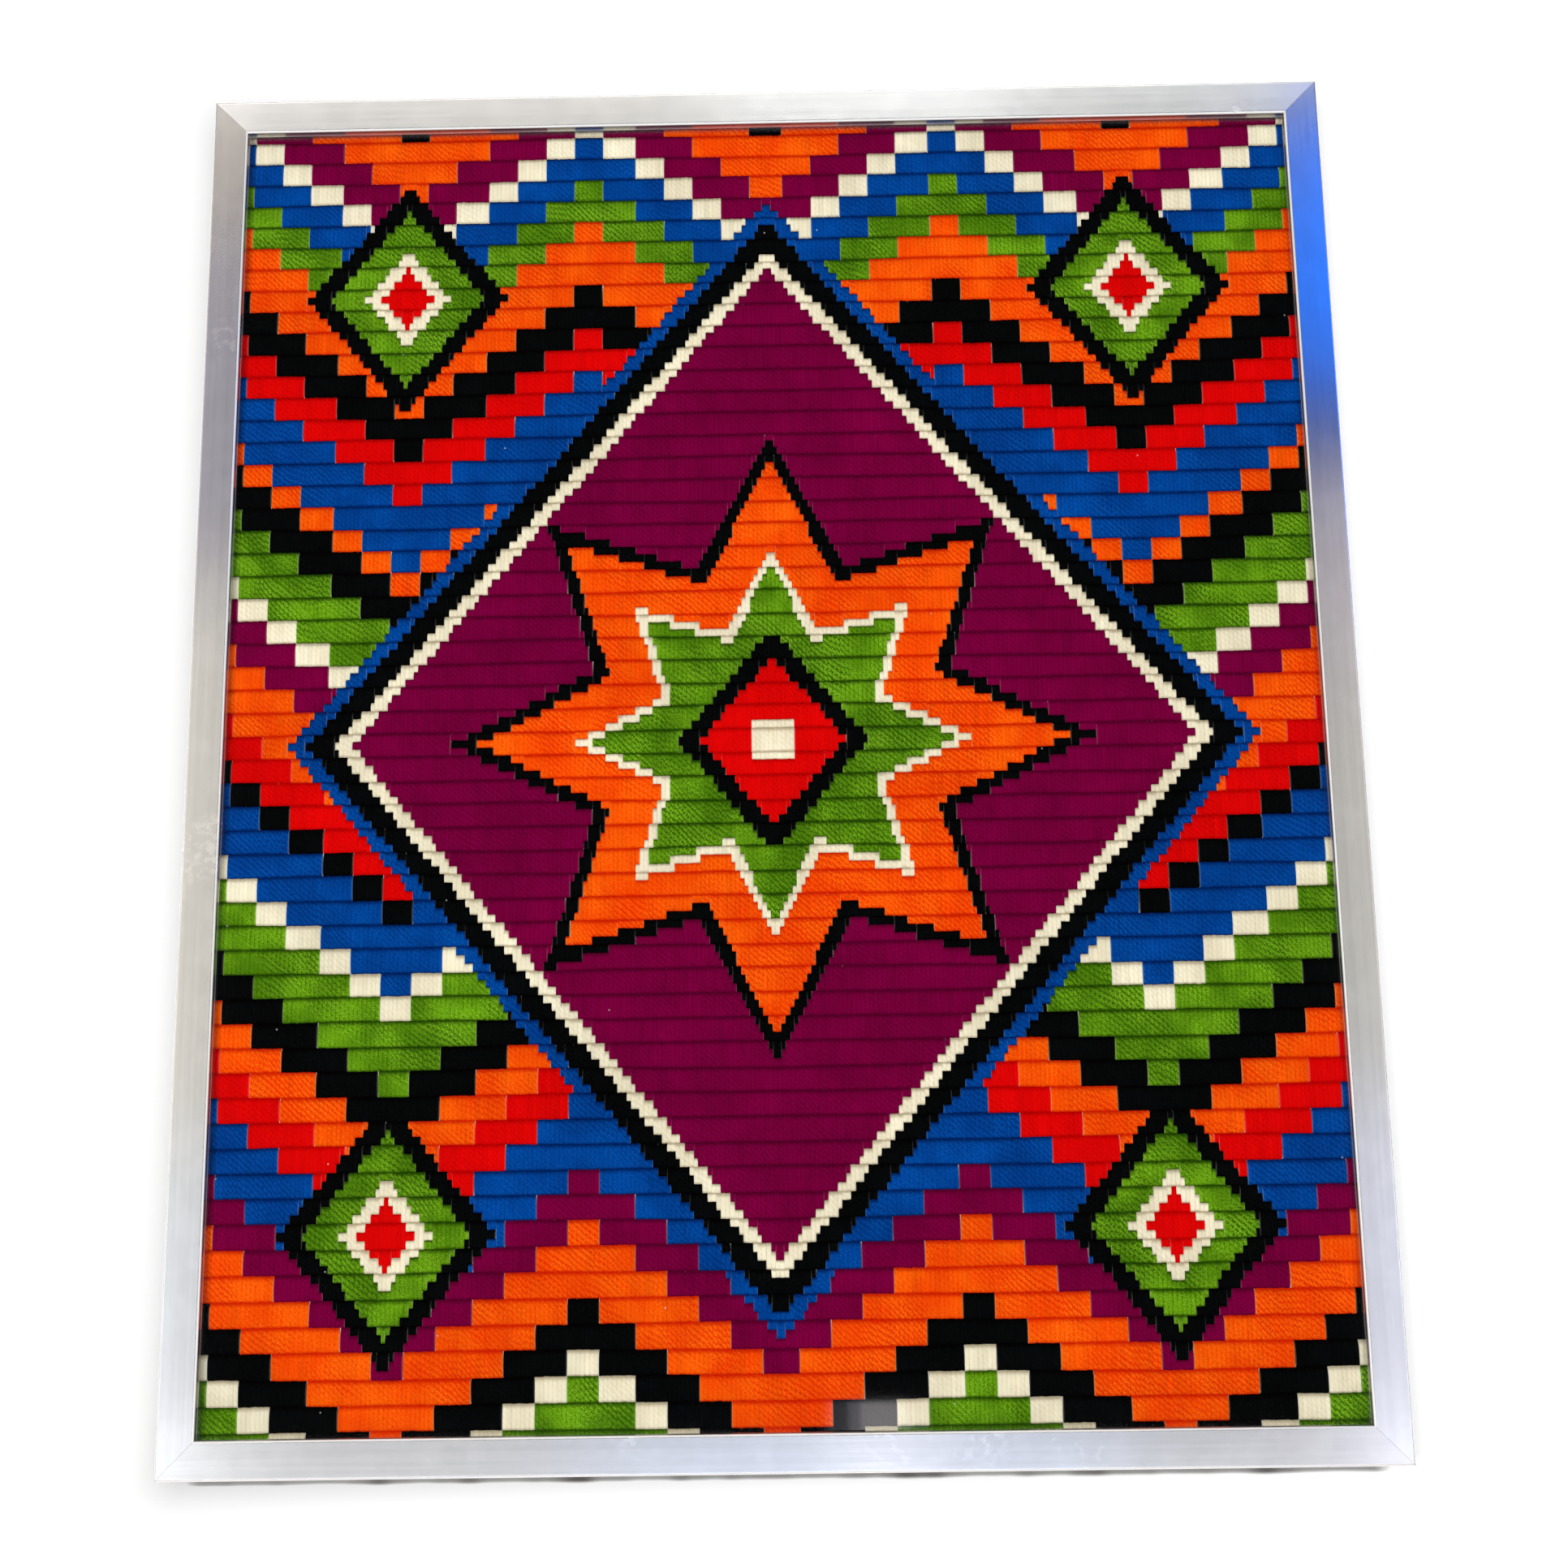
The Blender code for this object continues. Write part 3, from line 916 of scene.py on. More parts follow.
    def build_yarn(self) -> list[bpy.types.Object]:
        """Makes the stitches, one piece for each wool, or more where a wool has very many.

        Returns:
            The pieces.
        """
        stitches = self.cut()
        rng = np.random.default_rng(self.seed)
        yarn = self.shape(stitches, rng)
        self.mark(yarn, stitches, rng)
        normals = self.normals()
        triangles, quads = self.stitch_faces()
        per_stitch = len(triangles) + 2 * len(quads)
        pieces = []
        for wool in Wool:
            chosen = np.nonzero(stitches.wool == wool)[0]
            lots = math.ceil(len(chosen) * per_stitch / self.most_triangles)
            material = WOOLS[wool].material(f"{wool.name.lower()}_wool")
            for lot, members in enumerate(np.array_split(chosen, lots), 1):
                base = self.points_each * np.arange(len(members))[:, None, None]
                faces = [(base + triangles).reshape(-1, 3), (base + quads).reshape(-1, 4)]
                corners = np.concatenate([face.ravel() for face in faces])
                shell = Shell(
                    yarn.points[members].reshape(-1, 3),
                    faces,
                    yarn.flat[members].reshape(-1, 2)[corners],
                    {name: values[members].ravel() for name, values in yarn.readings.items()},
                    np.tile(normals, (len(members), 1)),
                )
                suffix = f"_{lot}" if lots > 1 else ""
                pieces.append(shell.build(f"{wool.name.lower()}_stitches{suffix}", material))
        LOG.info("stitches: %d, in %d rows of %d columns", len(stitches.row), self.rows, self.columns)
        return pieces

    def build_canvas(self) -> bpy.types.Object:
        """Makes the canvas, one closed sheet that is stretched flat, on the one body with the frame.

        Returns:
            The canvas.
        """
        low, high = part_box("needlework")
        columns, rows = self.canvas_grid
        x, y = np.meshgrid(np.linspace(low.x, high.x, columns), np.linspace(low.y, high.y, rows))
        front = np.stack([x, y, np.full_like(x, self.canvas_face)], axis=-1).reshape(-1, 3)
        back = front * (1, 1, 0) + (0, 0, low.z)
        index = np.arange(len(front)).reshape(rows, columns)
        squares = np.stack([index[:-1, :-1], index[:-1, 1:], index[1:, 1:], index[1:, :-1]], axis=-1)
        top = squares.reshape(-1, 4)
        bottom = top[:, ::-1] + len(front)
        rim = np.concatenate([index[0, :-1], index[:-1, -1], index[-1, :0:-1], index[:0:-1, 0]])
        onward = np.roll(rim, -1)
        sides = np.stack([onward, rim, rim + len(front), onward + len(front)], axis=-1)
        points = np.concatenate([front, back])
        faces = np.concatenate([top, bottom, sides])
        shell = Shell(points, [faces], points[faces.ravel(), :2] / MM, {}, smooth=False)
        return shell.build("canvas", CanvasFinish().material("canvas"))

    def build(self) -> None:
        """Makes the canvas and its stitches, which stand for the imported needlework."""
        canvas = self.build_canvas()
        yarn = self.build_yarn()
        for piece in (canvas, *yarn):
            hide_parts("needlework")


@dataclass(frozen=True)
class CanvasFinish:
    """Pale cotton canvas: square meshes with painted shade in the holes, and slubs in its threads."""

    thread: Colour = (0.82, 0.79, 0.70)
    # Painted shade in the mesh holes; also the tone that slubs darken towards.
    hole_shade_and_slub: Colour = (0.30, 0.28, 0.24)
    mesh: float = 1.9 * MM
    weave: Ramp = (-0.3, 0.5)
    slub_cells: float = 700.0
    slub_detail: float = 3.0
    slub_share: float = 0.25
    bump: float = 0.7
    bump_depth: float = 0.3 * MM

    def material(self, name: str) -> bpy.types.Material:
        """Makes the finish: threads are the crests of one wave across and one along, and
        the holes between them get painted shade.

        Args:
            name: The material's name.

        Returns:
            The material.
        """
        material, bench, shader = surface_material(name, Roughness=0.9, Specular_IOR_Level=0.2)
        place = bench.place()
        x, y, _ = bench.parts(place)
        turn = math.tau / self.mesh
        threads = [bench.math("COSINE", bench.times(side, turn)) for side in (x, y)]
        weave = bench.ramp(bench.math("MAXIMUM", *threads), *self.weave)
        slub = bench.times(bench.noise(place, self.slub_cells, self.slub_detail), self.slub_share)
        colour = bench.layers(self.hole_shade_and_slub, (weave, self.thread), (slub, self.hole_shade_and_slub))
        bench.feed(shader.inputs["Base Color"], colour)
        bench.bump(shader, self.bump, self.bump_depth, weave)
        return material


@dataclass(frozen=True)
class SatinMetal:
    """Satin anodised metal with brushed lines and broad streaks along the rail.

    It is paler where it was wiped or scuffed. A painted highlight makes its rounded edges pale and
    less metallic, and painted shade darkens the lip's inner face, the outer sides and hidden faces.
    Lines and streaks have so many cells in a millimetre along and across.
    """

    dark: Colour = (0.775, 0.775, 0.77)
    light: Colour = (0.855, 0.855, 0.85)
    wiped: Colour = (0.95, 0.95, 0.94)
    scuffed: Colour = (1.0, 1.0, 0.99)
    # Colours of the painted highlight and of the painted shade.
    painted_highlight: Colour = (0.88, 0.86, 0.835)
    metal_shade: Colour = (0.12, 0.115, 0.105)
    line_cells: Pair = (0.02, 2.2)
    streak_cells: Pair = (0.006, 0.35)
    streaks: Ramp = (0.35, 0.65)
    streak_share: float = 0.6
    grain: Clouds = Clouds(420.0, (0.3, 0.7, 0.0, 0.35))
    smudges: Clouds = Clouds(70.0, (0.4, 0.7))
    smudge_share: float = 0.3
    scuffed_places: Clouds = Clouds(19.0, (0.6, 0.72), 1.0)
    scratches: Clouds = Clouds(260.0, (0.5, 0.64), 3.0)
    roughness: Ramp = (0.3, 0.7, 0.22, 0.26)
    scuff_roughness: float = 0.04
    highlight_non_metal: float = 0.6
    bump: float = 0.01
    bump_depth: float = 0.05 * MM

    def material(self, name: str) -> bpy.types.Material:
        """Makes the finish. The surface map gives millimetres along and across the rail.

        The readings "edge_highlight" and "painted_shade" say how much painted highlight and painted
        shade the metal has.

        Args:
            name: The material's name.

        Returns:
            The material.
        """
        material, bench, shader = surface_material(name, Anisotropic=0.75, Anisotropic_Rotation=0.25)
        place = bench.place()
        along, across = bench.surface()
        lines, streaks = (
            bench.noise(bench.vector(bench.times(along, long), bench.times(across, wide)), 1.0)
            for long, wide in (self.line_cells, self.streak_cells)
        )
        smudges = bench.times(bench.clouds(place, self.smudges), self.smudge_share)
        scratches = bench.clouds(place, self.scratches)
        scuffs = bench.times(bench.clouds(place, self.scuffed_places), scratches)
        # Painted highlight on edges and painted shade, as the mesh's readings give them.
        edge_highlight = bench.reading("edge_highlight")
        colour = bench.layers(
            bench.blend(lines, self.dark, self.light),
            (self.streak_share, bench.blend(bench.ramp(streaks, *self.streaks), self.dark, self.light)),
            (bench.clouds(place, self.grain), self.dark),
            (smudges, self.wiped),
            (scuffs, self.scuffed),
            (edge_highlight, self.painted_highlight),
            (bench.reading("painted_shade"), self.metal_shade),
        )
        bench.feed(shader.inputs["Base Color"], colour)
        # Where the highlight is painted the metal is less metallic, so that the lamps light it.
        metallic = bench.math("SUBTRACT", 1.0, bench.times(edge_highlight, self.highlight_non_metal))
        bench.feed(shader.inputs["Metallic"], metallic)
        scuffing = bench.times(scuffs, self.scuff_roughness)
        rough = bench.math("ADD", bench.ramp(lines, *self.roughness), scuffing)
        bench.feed(shader.inputs["Roughness"], rough)
        bench.bump(shader, self.bump, self.bump_depth, lines)
        tangent = bench.add("Tangent", direction_type="UV_MAP", uv_map="surface")
        bench.feed(shader.inputs["Tangent"], tangent.outputs[0])
        return material


@dataclass(frozen=True)
class Side:
    """One side of the frame: its length, outer middle, rail's turn and outer edge's painted highlight.
    """

    name: str
    length: float
    place: Pair
    quarter_turns: int
    outer_edge_highlight: float


@dataclass(frozen=True)
class Rails:
    """Four lengths of one metal section, mitred, with finely rounded edges."""

    face_width: float = 16.0 * MM
    wall: float = 1.6 * MM
    lip_bottom: float = 19.8 * MM
    middle_flange_reach: float = 11.0 * MM
    back_flange_reach: float = 9.6 * MM
    slot_top: float = 7.2 * MM
    nub_height: float = 1.0 * MM
    nub_width: float = 1.2 * MM
    outer_radius: float = 1.1 * MM
    lip_radius: float = 1.1 * MM
    back_radius: float = 0.5 * MM
    arc_steps: int = 8
    hold: float = 0.12 * MM
    mitre_gap: float = 0.08 * MM
    # Painted shade: the lip's inner face under its rounded edge, the outer side, and hidden faces.
    lip_face_shade: float = 0.95
    outer_side_shade: float = 0.8
    hidden_face_shade: float = 0.5
    # Painted highlight: pale, less metallic metal at the lip's foot and on rounded edges.
    lip_foot_highlight: float = 0.7
    highlight_spread: float = 1.6
    sharp_angle: float = 35.0

    def rounded(self, corner: Pair, start: float, radius: float, edge_highlight: float, end_shade: Pair) -> Floats:
        """A rounded corner: a point of lead-in, a quarter turn, and a point of lead-out.

        The painted highlight is a sine of the way round, spread and cut off at 1, and the painted
        shade falls off from each end to the middle.

        Args:
            corner: The square corner that is rounded.
            start: The angle of the first point, seen from the turn's centre, in degrees.
            radius: The radius of the turn.
            edge_highlight: How strong the painted highlight is in the middle of the turn.
            end_shade: How much painted shade its two ends have.

        Returns:
            Rows of distance in, height, painted highlight and painted shade.
        """
        middle = math.radians(start + 45)
        centre = np.array(corner) - radius * np.sign([math.cos(middle), math.sin(middle)])
        angle = np.radians(np.linspace(start, start + 90, self.arc_steps + 1))
        arc = centre + radius * np.stack([np.cos(angle), np.sin(angle)], axis=1)
        travel = np.stack([-np.sin(angle), np.cos(angle)], axis=1)
        places = np.vstack([arc[0] - self.hold * travel[0], arc, arc[-1] + self.hold * travel[-1]])
        turn = np.concatenate([[0.0], np.linspace(0, 1, len(arc)), [1.0]])
        metal_shade = end_shade[0] * np.clip(1 - 2 * turn, 0, 1) + end_shade[1] * np.clip(2 * turn - 1, 0, 1)
        painted_highlight = edge_highlight * np.clip(self.highlight_spread * np.sin(math.pi * turn), 0, 1)
        return np.column_stack([places, painted_highlight, metal_shade])

    def section(self, depth: float, outer_edge_highlight: float) -> Floats:
        """The section's outline, anticlockwise, as distance in from the outer side and height.

        Args:
            depth: The height of the front face.
            outer_edge_highlight: How strong the painted highlight on the outer edge is.

        Returns:
            Rows of distance in, height, painted highlight and painted shade.
        """
        nub, top, wall = self.back_flange_reach - self.nub_width, self.slot_top, self.wall
        square = np.array([
            (self.back_flange_reach, 0), (self.back_flange_reach, wall + self.nub_height),
            (nub, wall + self.nub_height), (nub, wall), (wall, wall), (wall, top),
            (self.middle_flange_reach, top), (self.middle_flange_reach, top + wall), (wall, top + wall),
            (wall, depth - wall), (self.face_width - wall, depth - wall),
            (self.face_width - wall, self.lip_bottom), (self.face_width, self.lip_bottom),
        ])
        behind = self.hidden_face_shade
        # Painted shade on the hidden faces, and a painted highlight at the lip's foot.
        edge_highlight, metal_shade = np.zeros(len(square)), np.full(len(square), behind)
        edge_highlight[-1], metal_shade[-1] = self.lip_foot_highlight, 0.0
        return np.vstack([
            self.rounded((0, 0), 180, self.back_radius, 0.0, (behind, behind)),
            np.column_stack([square, edge_highlight, metal_shade]),
            # Painted highlight on the lip's rounded edge; painted shade where it meets the lip's inner
            # face.
            self.rounded((self.face_width, depth), 0, self.lip_radius, 1.0, (self.lip_face_shade, 0.0)),
            # Painted highlight on the outer rounded edge; painted shade on the outer side below it.
            self.rounded((0, depth), 90, self.outer_radius, outer_edge_highlight, (0.0, self.outer_side_shade)),
        ])

    def rail(self, side: Side, finish: bpy.types.Material) -> bpy.types.Object:
        """Carries the section along one rail, from mitre to mitre, and closes both ends.

        Args:
            side: The side of the frame that the rail is for.
            finish: Its material.

        Returns:
            The rail.
        """
        section = self.section(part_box("rail_top")[1].z, side.outer_edge_highlight)
        inward, height, edge_highlight, painted_shade = section.T
        reach = side.length / 2 - inward - self.mitre_gap / math.sqrt(2)
        closed = np.vstack([section, section[:1]])[:, :2]
        across = np.concatenate([[0], np.cumsum(np.hypot(*np.diff(closed, axis=0).T))])
        points = np.vstack([np.column_stack([sign * reach, inward, height]) for sign in (-1, 1)])
        turn = side.quarter_turns * math.pi / 2
        cosine, sine = round(math.cos(turn)), round(math.sin(turn))
        turned = np.column_stack([
            cosine * points[:, 0] - sine * points[:, 1] + side.place[0],
            sine * points[:, 0] + cosine * points[:, 1] + side.place[1],
            points[:, 2],
        ])
        count = len(section)
        k = np.arange(count)
        onward = (k + 1) % count
        walls = np.stack([k, onward, onward + count, k + count], axis=1)
        caps = np.stack([k[::-1], k + count])
        wall_across = np.stack([across[:-1], across[1:], across[1:], across[:-1]], axis=1)
        wall_uv = np.stack([points[walls, 0], wall_across], axis=-1).reshape(-1, 2)
        cap_uv = points[caps.ravel(), 1:]
        readings = {"edge_highlight": np.tile(edge_highlight, 2), "painted_shade": np.tile(painted_shade, 2)}
        shell = Shell(turned, [walls, caps], np.vstack([wall_uv, cap_uv]) / MM, readings)
        obj = shell.build(f"{side.name}_rail", finish)
        obj.data.set_sharp_from_angle(angle=math.radians(self.sharp_angle))
        return obj

    def build(self) -> None:
        """Makes the four rails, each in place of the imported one."""
        low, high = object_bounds()
        width, height = high.x - low.x, high.y - low.y
        finish = SatinMetal().material("satin_metal_lines")
        sides = (
            Side("bottom", width, (0, low.y), 0, 0.9),
            Side("right", height, (high.x, 0), 1, 0.3),
            Side("top", width, (0, high.y), 2, 0.6),
            Side("left", height, (low.x, 0), 3, 0.7),
        )
        for side in sides:
            rail = self.rail(side, finish)
            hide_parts(f"rail_{side.name}")


@dataclass(frozen=True)
class ClearGlass:
    """Polished sheet glass, which mirrors where light goes in and is clear where it comes out."""

    refraction: float = 1.85
    tint: Colour = (0.975, 0.985, 0.98)
    gloss_roughness: float = 0.036

    def material(self, name: str) -> bpy.types.Material:
        """Makes the finish: clear mixed with gloss by Fresnel, only where light goes in.

        Args:
            name: The material's name.

        Returns:
            The material.
        """
        material, bench, shader = surface_material(name)
        material.node_tree.nodes.remove(shader)
        mirror = bench.add("Fresnel", {"IOR": self.refraction}).outputs[0]
        inside = bench.add("NewGeometry").outputs["Backfacing"]
        share = bench.times(mirror, bench.math("SUBTRACT", 1.0, inside))
        clear = bench.add("BsdfTransparent", {"Color": self.tint}).outputs[0]
        gloss = bench.add("BsdfGlossy", {"Roughness": self.gloss_roughness}).outputs[0]
        mixed = bench.add("MixShader", {0: share, 1: clear, 2: gloss}).outputs[0]
        bench.feed(material.node_tree.nodes["Material Output"].inputs["Surface"], mixed)
        return material


@dataclass(frozen=True)
class Fibreboard:
    """Plain brown board pressed from fibres."""

    pale: Colour = (0.33, 0.215, 0.115)
    dark: Colour = (0.25, 0.158, 0.082)
    fibre: Colour = (0.15, 0.09, 0.045)
    cloudy: Clouds = Clouds(35.0, (0.3, 0.7), 4.0)
    flecks: Clouds = Clouds(900.0, (0.52, 0.66), 4.0)
    fleck_share: float = 0.5
    bump: float = 0.4
    bump_depth: float = 0.1 * MM

    def material(self, name: str) -> bpy.types.Material:
        """Makes the finish: cloudy tone, fine flecks, and a low bump.

        Args:
            name: The material's name.

        Returns:
            The material.
        """
        material, bench, shader = surface_material(name, Roughness=0.82, Specular_IOR_Level=0.3)
        place = bench.place()
        flecks = bench.clouds(place, self.flecks)
        colour = bench.layers(
            self.dark,
            (bench.clouds(place, self.cloudy), self.pale),
            (bench.times(flecks, self.fleck_share), self.fibre),
        )
        bench.feed(shader.inputs["Base Color"], colour)
        bench.bump(shader, self.bump, self.bump_depth, flecks)
        return material


@dataclass(frozen=True)
class PlatedSteel:
    """Plain plated sheet with a faint mottle."""

    light: Colour = (0.60, 0.60, 0.57)
    dark: Colour = (0.44, 0.44, 0.42)
    spangle: Clouds = Clouds(420.0, (0.35, 0.65))
    roughness: Clouds = Clouds(90.0, (0.3, 0.7, 0.34, 0.5))

    def material(self, name: str) -> bpy.types.Material:
        """Makes the finish: mottled metal of middling roughness.

        Args:
            name: The material's name.

        Returns:
            The material.
        """
        material, bench, shader = surface_material(name, Metallic=1.0)
        place = bench.place()
        colour = bench.blend(bench.clouds(place, self.spangle), self.dark, self.light)
        bench.feed(shader.inputs["Base Color"], colour)
        bench.feed(shader.inputs["Roughness"], bench.clouds(place, self.roughness))
        return material


@dataclass(frozen=True)
class KeptPieces:
    """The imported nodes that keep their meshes: glass, board and corner angles."""

    corners: tuple[str, ...] = ("top_left", "top_right", "bottom_left", "bottom_right")

    def dress(self) -> None:
        """Gives each kept node its finish."""
        finishes = {
            "glass": ClearGlass().material("clear_glass"),
            "backing_board": Fibreboard().material("brown_fibreboard"),
        }
        steel = PlatedSteel().material("plated_sheet_steel")
        finishes |= {f"corner_angle_{corner}": steel for corner in self.corners}
        for node, material in finishes.items():
            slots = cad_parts[node].data.materials
            slots.clear()
            slots.append(material)
            LOG.info("%s: finish %s", node, material.name)


@dataclass(frozen=True)
class SkyPanel:
    """A soft round panel of the studio's sky, by its slant aside and up the picture from overhead."""

    aside: float
    up: float
    inner: float
    outer: float
    colour: Colour

    @property
    def direction(self) -> Point:
        """The way to the panel's middle, as a point one unit off."""
        way = Vector((math.tan(math.radians(self.aside)), math.tan(math.radians(self.up)), 1.0))
        return tuple(way.normalized())


@dataclass(frozen=True)
class Lamp:
    """A square soft lamp that points at the picture and doesn't show in glass or metal."""

    name: str
    place: Point
    size: float
    power: float
    colour: Colour = (1.0, 1.0, 1.0)

    def build(self) -> None:
        """Makes the lamp."""
        light = bpy.data.lights.new(self.name, "AREA")
        light.shape = "SQUARE"
        light.size = self.size
        light.energy = self.power
        light.color = self.colour
        obj = bpy.data.objects.new(self.name, light)
        obj.location = self.place
        obj.rotation_euler = (-Vector(self.place)).to_track_quat("-Z", "Y").to_euler()
        obj.visible_glossy = False
        bpy.context.scene.collection.objects.link(obj)


@dataclass(frozen=True)
class Board:
    """A glowing board over the picture, by its two ends in x and y. Only metal and glass show it."""

    name: str
    x: Pair
    y: Pair
    tone: Colour
    height: float = 1.05

    def build(self, gain: float) -> None:
        """Makes the board, which faces straight down.

        Its power is its brightest tone times the gain, times pi times its area.

        Args:
            gain: How much brighter than its tone it is.
        """
        light = bpy.data.lights.new(self.name, "AREA")
        light.shape = "RECTANGLE"
        light.size, light.size_y = self.x[1] - self.x[0], self.y[1] - self.y[0]
        brightest = max(self.tone)
        light.energy = gain * brightest * math.pi * light.size * light.size_y
        light.color = tuple(part / brightest for part in self.tone)
        obj = bpy.data.objects.new(self.name, light)
        obj.location = (sum(self.x) / 2, sum(self.y) / 2, self.height)
        obj.visible_diffuse = False
        obj.visible_camera = False
        bpy.context.scene.collection.objects.link(obj)


@dataclass(frozen=True)
class Studio:
    """A pale floor, a soft sky, lamps, boards and the camera at the photograph's angle."""

    floor_size: float = 9.0
    floor_colour: Colour = (0.95, 0.95, 0.95)
    floor_glow: float = 0.35
    floor_drop: float = 0.2 * MM
    floor_patches: Clouds = Clouds(3.0, (0.3, 0.7))
    patch_tone: float = 0.985
    shade_colour: Colour = (0.04, 0.036, 0.03)
    halo_reach: float = 0.065
    halo_depth: Pair = (0.43, 0.17)
    line_cells: float = 28.0
    line_reach: Ramp = (0.3, 0.7, 0.0054, 0.0062)
    line_depth: Ramp = (0.42, 0.7, 0.75, 0.96)
    line_edge: Ramp = (0.72, 1.1, 1.0, 0.0)
    line_end: float = 0.012
    sky_colour: Colour = (0.9, 0.905, 0.92)
    panels: tuple[SkyPanel, ...] = (
        SkyPanel(0, 11, 62, 80, (0.006, 0.006, 0.007)),
    )
    lamps: tuple[Lamp, ...] = (
        Lamp("overhead_lamp", (0.1, 0.2, 2.4), 2.2, 60.0),
        Lamp("key_lamp", (-0.78, -0.22, 2.0), 0.5, 18.0),
    )
    board_gain: float = 2.0
    boards: tuple[Board, ...] = (
        Board("top_left_board", (-0.75, -0.06), (0.96, 1.8), (1.26, 1.22, 1.17)),
        Board("top_middle_board", (-0.06, 0.25), (0.96, 1.8), (1.70, 1.71, 1.70)),
        Board("top_right_board", (0.25, 0.62), (0.96, 1.8), (1.15, 1.16, 1.14)),
        Board("blue_board", (0.55, 2.4), (0.60, 0.90), (0.0, 0.25, 1.45)),
        Board("right_upper_board", (0.522, 1.4), (0.28, 0.50), (0.54, 0.49, 0.49)),
        Board("right_middle_board", (0.522, 1.4), (-0.12, 0.28), (0.58, 0.56, 0.52)),
        Board("right_lower_board", (0.522, 1.4), (-0.6, -0.12), (0.76, 0.77, 0.90)),
        Board("left_top_board", (-1.4, -0.555), (0.80, 0.95), (0.52, 0.45, 0.38)),
        Board("left_upper_board", (-1.4, -0.555), (0.41, 0.80), (0.37, 0.35, 0.40)),
        Board("left_middle_board", (-1.4, -0.555), (-0.15, 0.41), (0.76, 0.72, 0.65)),
        Board("left_lower_board", (-1.4, -0.555), (-0.6, -0.15), (0.84, 0.86, 0.90)),
        Board("bottom_left_board", (-0.75, -0.2), (-1.2, -0.42), (0.69, 0.69, 0.71)),
        Board("bottom_middle_board", (-0.2, 0.29), (-1.2, -0.42), (0.75, 0.80, 0.95)),
        Board("bottom_right_board", (0.27, 0.75), (-1.2, -0.42), (0.64, 0.64, 0.67)),
        Board("window_glow", (0.024, 0.116), (-0.50, -0.389), (0.20, 0.20, 0.24), 1.045),
        Board("window_rim", (0.044, 0.101), (-0.50, -0.389), (0.40, 0.38, 0.39), 1.04),
        Board("window", (0.055, 0.090), (-0.50, -0.389), (0.58, 0.55, 0.51), 1.035),
    )
    image_pixels: float = 1932.0
    lens_pixels: float = 2450.0
    sensor: float = 36.0
    nearest: float = 0.02
    camera_place: Point = (0.0133, -0.1898, 0.8716)
    camera_tilt: float = 11.214
    camera_pan: float = 0.577
    camera_roll: float = -0.953

    def shade(self, bench: Bench, x: Input, y: Input) -> Socket:
        """How dark the floor is, by a soft halo and a ragged line under the frame's foot.

        The halo is deepest on the frame's left. The line's far edge and its depth follow noise
        along x, it fades out at both ends, and the darker of halo and line counts.

        Args:
            bench: The bench on the floor's nodes.
            x: Where across the floor.
            y: Where up the floor.

        Returns:
            The share of shade.
        """
        low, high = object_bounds()
        from_middle = bench.math("ABSOLUTE", x)
        aside = bench.math("MAXIMUM", bench.math("SUBTRACT", from_middle, high.x), 0.0)
        beyond = bench.math("MAXIMUM", bench.math("SUBTRACT", bench.math("ABSOLUTE", y), high.y), 0.0)
        off_edge = bench.vector(aside, beyond)
        outside = bench.add("VectorMath", {0: off_edge}, operation="LENGTH").outputs["Value"]
        left, right = self.halo_depth
        halo_depth = bench.add("MapRange", {0: x, 1: low.x, 2: high.x, 3: left, 4: right}).outputs[0]
        halo = bench.times(bench.ramp(outside, 0.0, self.halo_reach, 1.0, 0.0), halo_depth)
        ragged = bench.noise(bench.vector(x, 0.0), self.line_cells)
        off_foot = bench.math("SUBTRACT", low.y, y)
        far = bench.math("DIVIDE", off_foot, bench.ramp(ragged, *self.line_reach))
        line = bench.times(bench.ramp(far, *self.line_edge), bench.ramp(ragged, *self.line_depth))
        line = bench.times(line, bench.ramp(from_middle, high.x - self.line_end, high.x, 1.0, 0.0))
        line = bench.times(line, bench.math("LESS_THAN", y, low.y))
        return bench.math("MAXIMUM", halo, line)

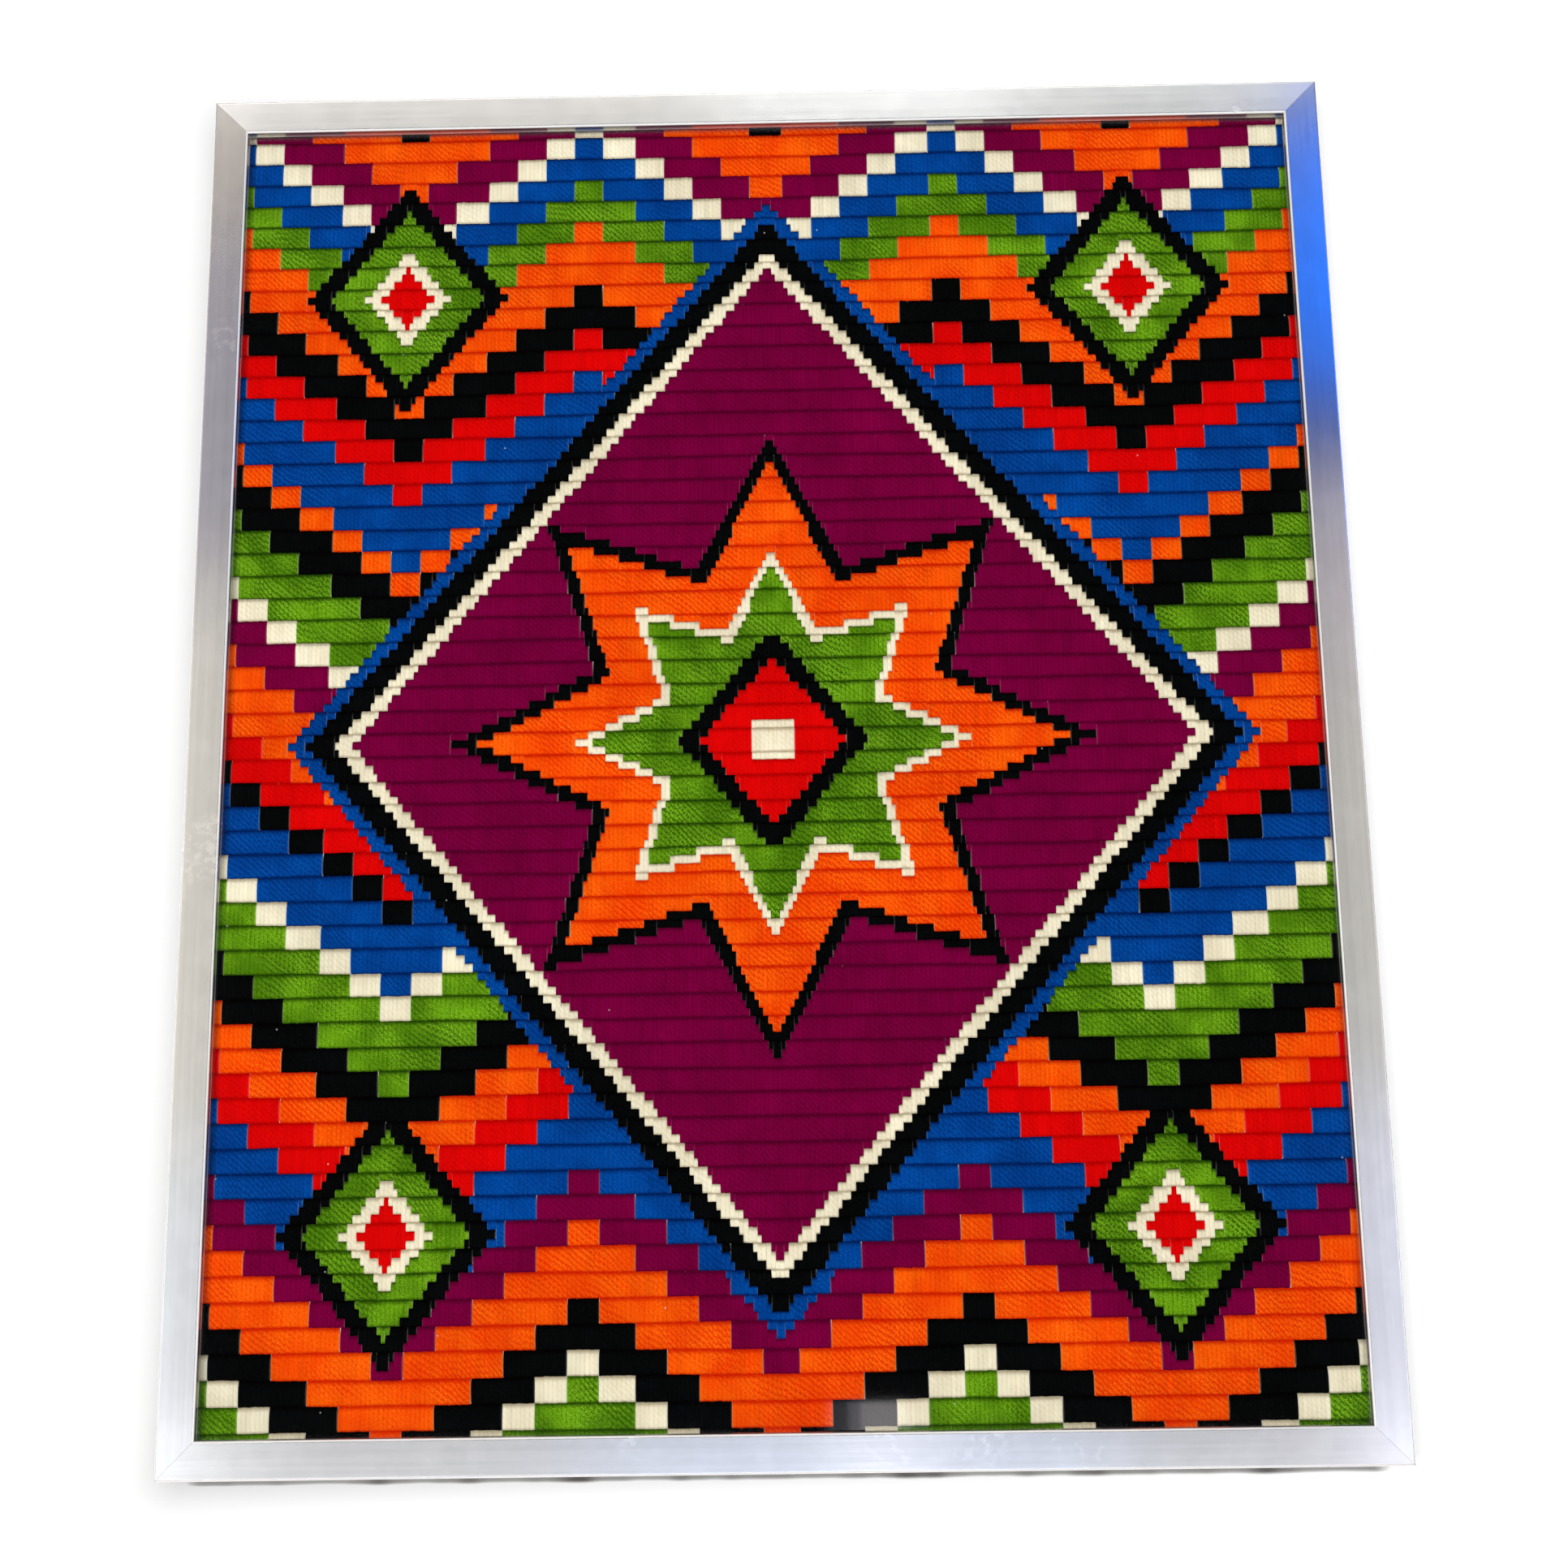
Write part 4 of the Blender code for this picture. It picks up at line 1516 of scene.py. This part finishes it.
    def build_floor(self) -> None:
        """Makes the floor, which shows only from above, with shade beside and under the frame."""
        half = self.floor_size / 2
        corners = [(-half, -half, 0), (half, -half, 0), (half, half, 0), (-half, half, 0)]
        mesh = bpy.data.meshes.new("floor")
        mesh.from_pydata(corners, [], [(0, 1, 2, 3)])
        material, bench, shader = surface_material(
            "pale_floor", Roughness=0.85, Specular_IOR_Level=0.1, Emission_Strength=self.floor_glow
        )
        place = bench.place()
        x, y, _ = bench.parts(place)
        duller = tuple(part * self.patch_tone for part in self.floor_colour)
        colour = bench.layers(
            self.floor_colour,
            (bench.clouds(place, self.floor_patches), duller),
            (self.shade(bench, x, y), self.shade_colour),
        )
        bench.feed(shader.inputs["Base Color"], colour)
        bench.feed(shader.inputs["Emission Color"], colour)
        below = bench.add("NewGeometry").outputs["Backfacing"]
        clear = bench.add("BsdfTransparent").outputs[0]
        mixed = bench.add("MixShader", {0: below, 1: shader.outputs[0], 2: clear}).outputs[0]
        bench.feed(material.node_tree.nodes["Material Output"].inputs["Surface"], mixed)
        mesh.materials.append(material)
        floor = bpy.data.objects.new("floor", mesh)
        floor.location.z = -self.floor_drop
        bpy.context.scene.collection.objects.link(floor)
        floor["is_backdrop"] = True

    def build_sky(self) -> None:
        """Makes the sky: one pale colour with softly edged panels laid over it in turn."""
        world = bpy.data.worlds.new("studio_sky")
        world.use_nodes = True
        bench = Bench(world.node_tree)
        way = bench.add("TexCoord").outputs["Generated"]
        colour: Input = self.sky_colour
        for panel in self.panels:
            inputs = {0: way, 1: panel.direction}
            nearness = bench.add("VectorMath", inputs, operation="DOT_PRODUCT").outputs["Value"]
            edges = math.cos(math.radians(panel.outer)), math.cos(math.radians(panel.inner))
            colour = bench.blend(bench.ramp(nearness, *edges), colour, panel.colour)
        bench.feed(world.node_tree.nodes["Background"].inputs["Color"], colour)
        bpy.context.scene.world = world

    def build_camera(self) -> None:
        """Makes the camera where the photograph was taken from, turned by tilt, pan and roll."""
        camera = bpy.data.cameras.new("camera")
        camera.sensor_width = self.sensor
        camera.lens = self.sensor * self.lens_pixels / self.image_pixels
        camera.clip_start = self.nearest
        obj = bpy.data.objects.new("camera", camera)
        turn = Matrix.Identity(4)
        for angle, axis in ((self.camera_tilt, "X"), (self.camera_pan, "Y"), (self.camera_roll, "Z")):
            turn = turn @ Matrix.Rotation(math.radians(angle), 4, axis)
        obj.matrix_world = Matrix.Translation(self.camera_place) @ turn
        bpy.context.scene.collection.objects.link(obj)
        bpy.context.scene.camera = obj

    def build(self) -> None:
        """Makes the whole studio, and keeps strong colours as they are."""
        self.build_floor()
        self.build_sky()
        for lamp in self.lamps:
            lamp.build()
        for board in self.boards:
            board.build(self.board_gain)
        self.build_camera()
        view = bpy.context.scene.view_settings
        view.view_transform = "Standard"
        view.look = "None"
        counts = len(self.panels), len(self.lamps), len(self.boards)
        LOG.info("studio: floor, sky with panels: %d, lamps: %d, boards: %d", *counts)


def main() -> None:
    """Builds the pieces in order, from the rails to the studio round them."""
    logging.basicConfig(level=logging.INFO, format="%(name)s: %(message)s")
    Rails().build()
    Needlework().build()
    KeptPieces().dress()
    Studio().build()


if __name__ == "__main__":
    main()
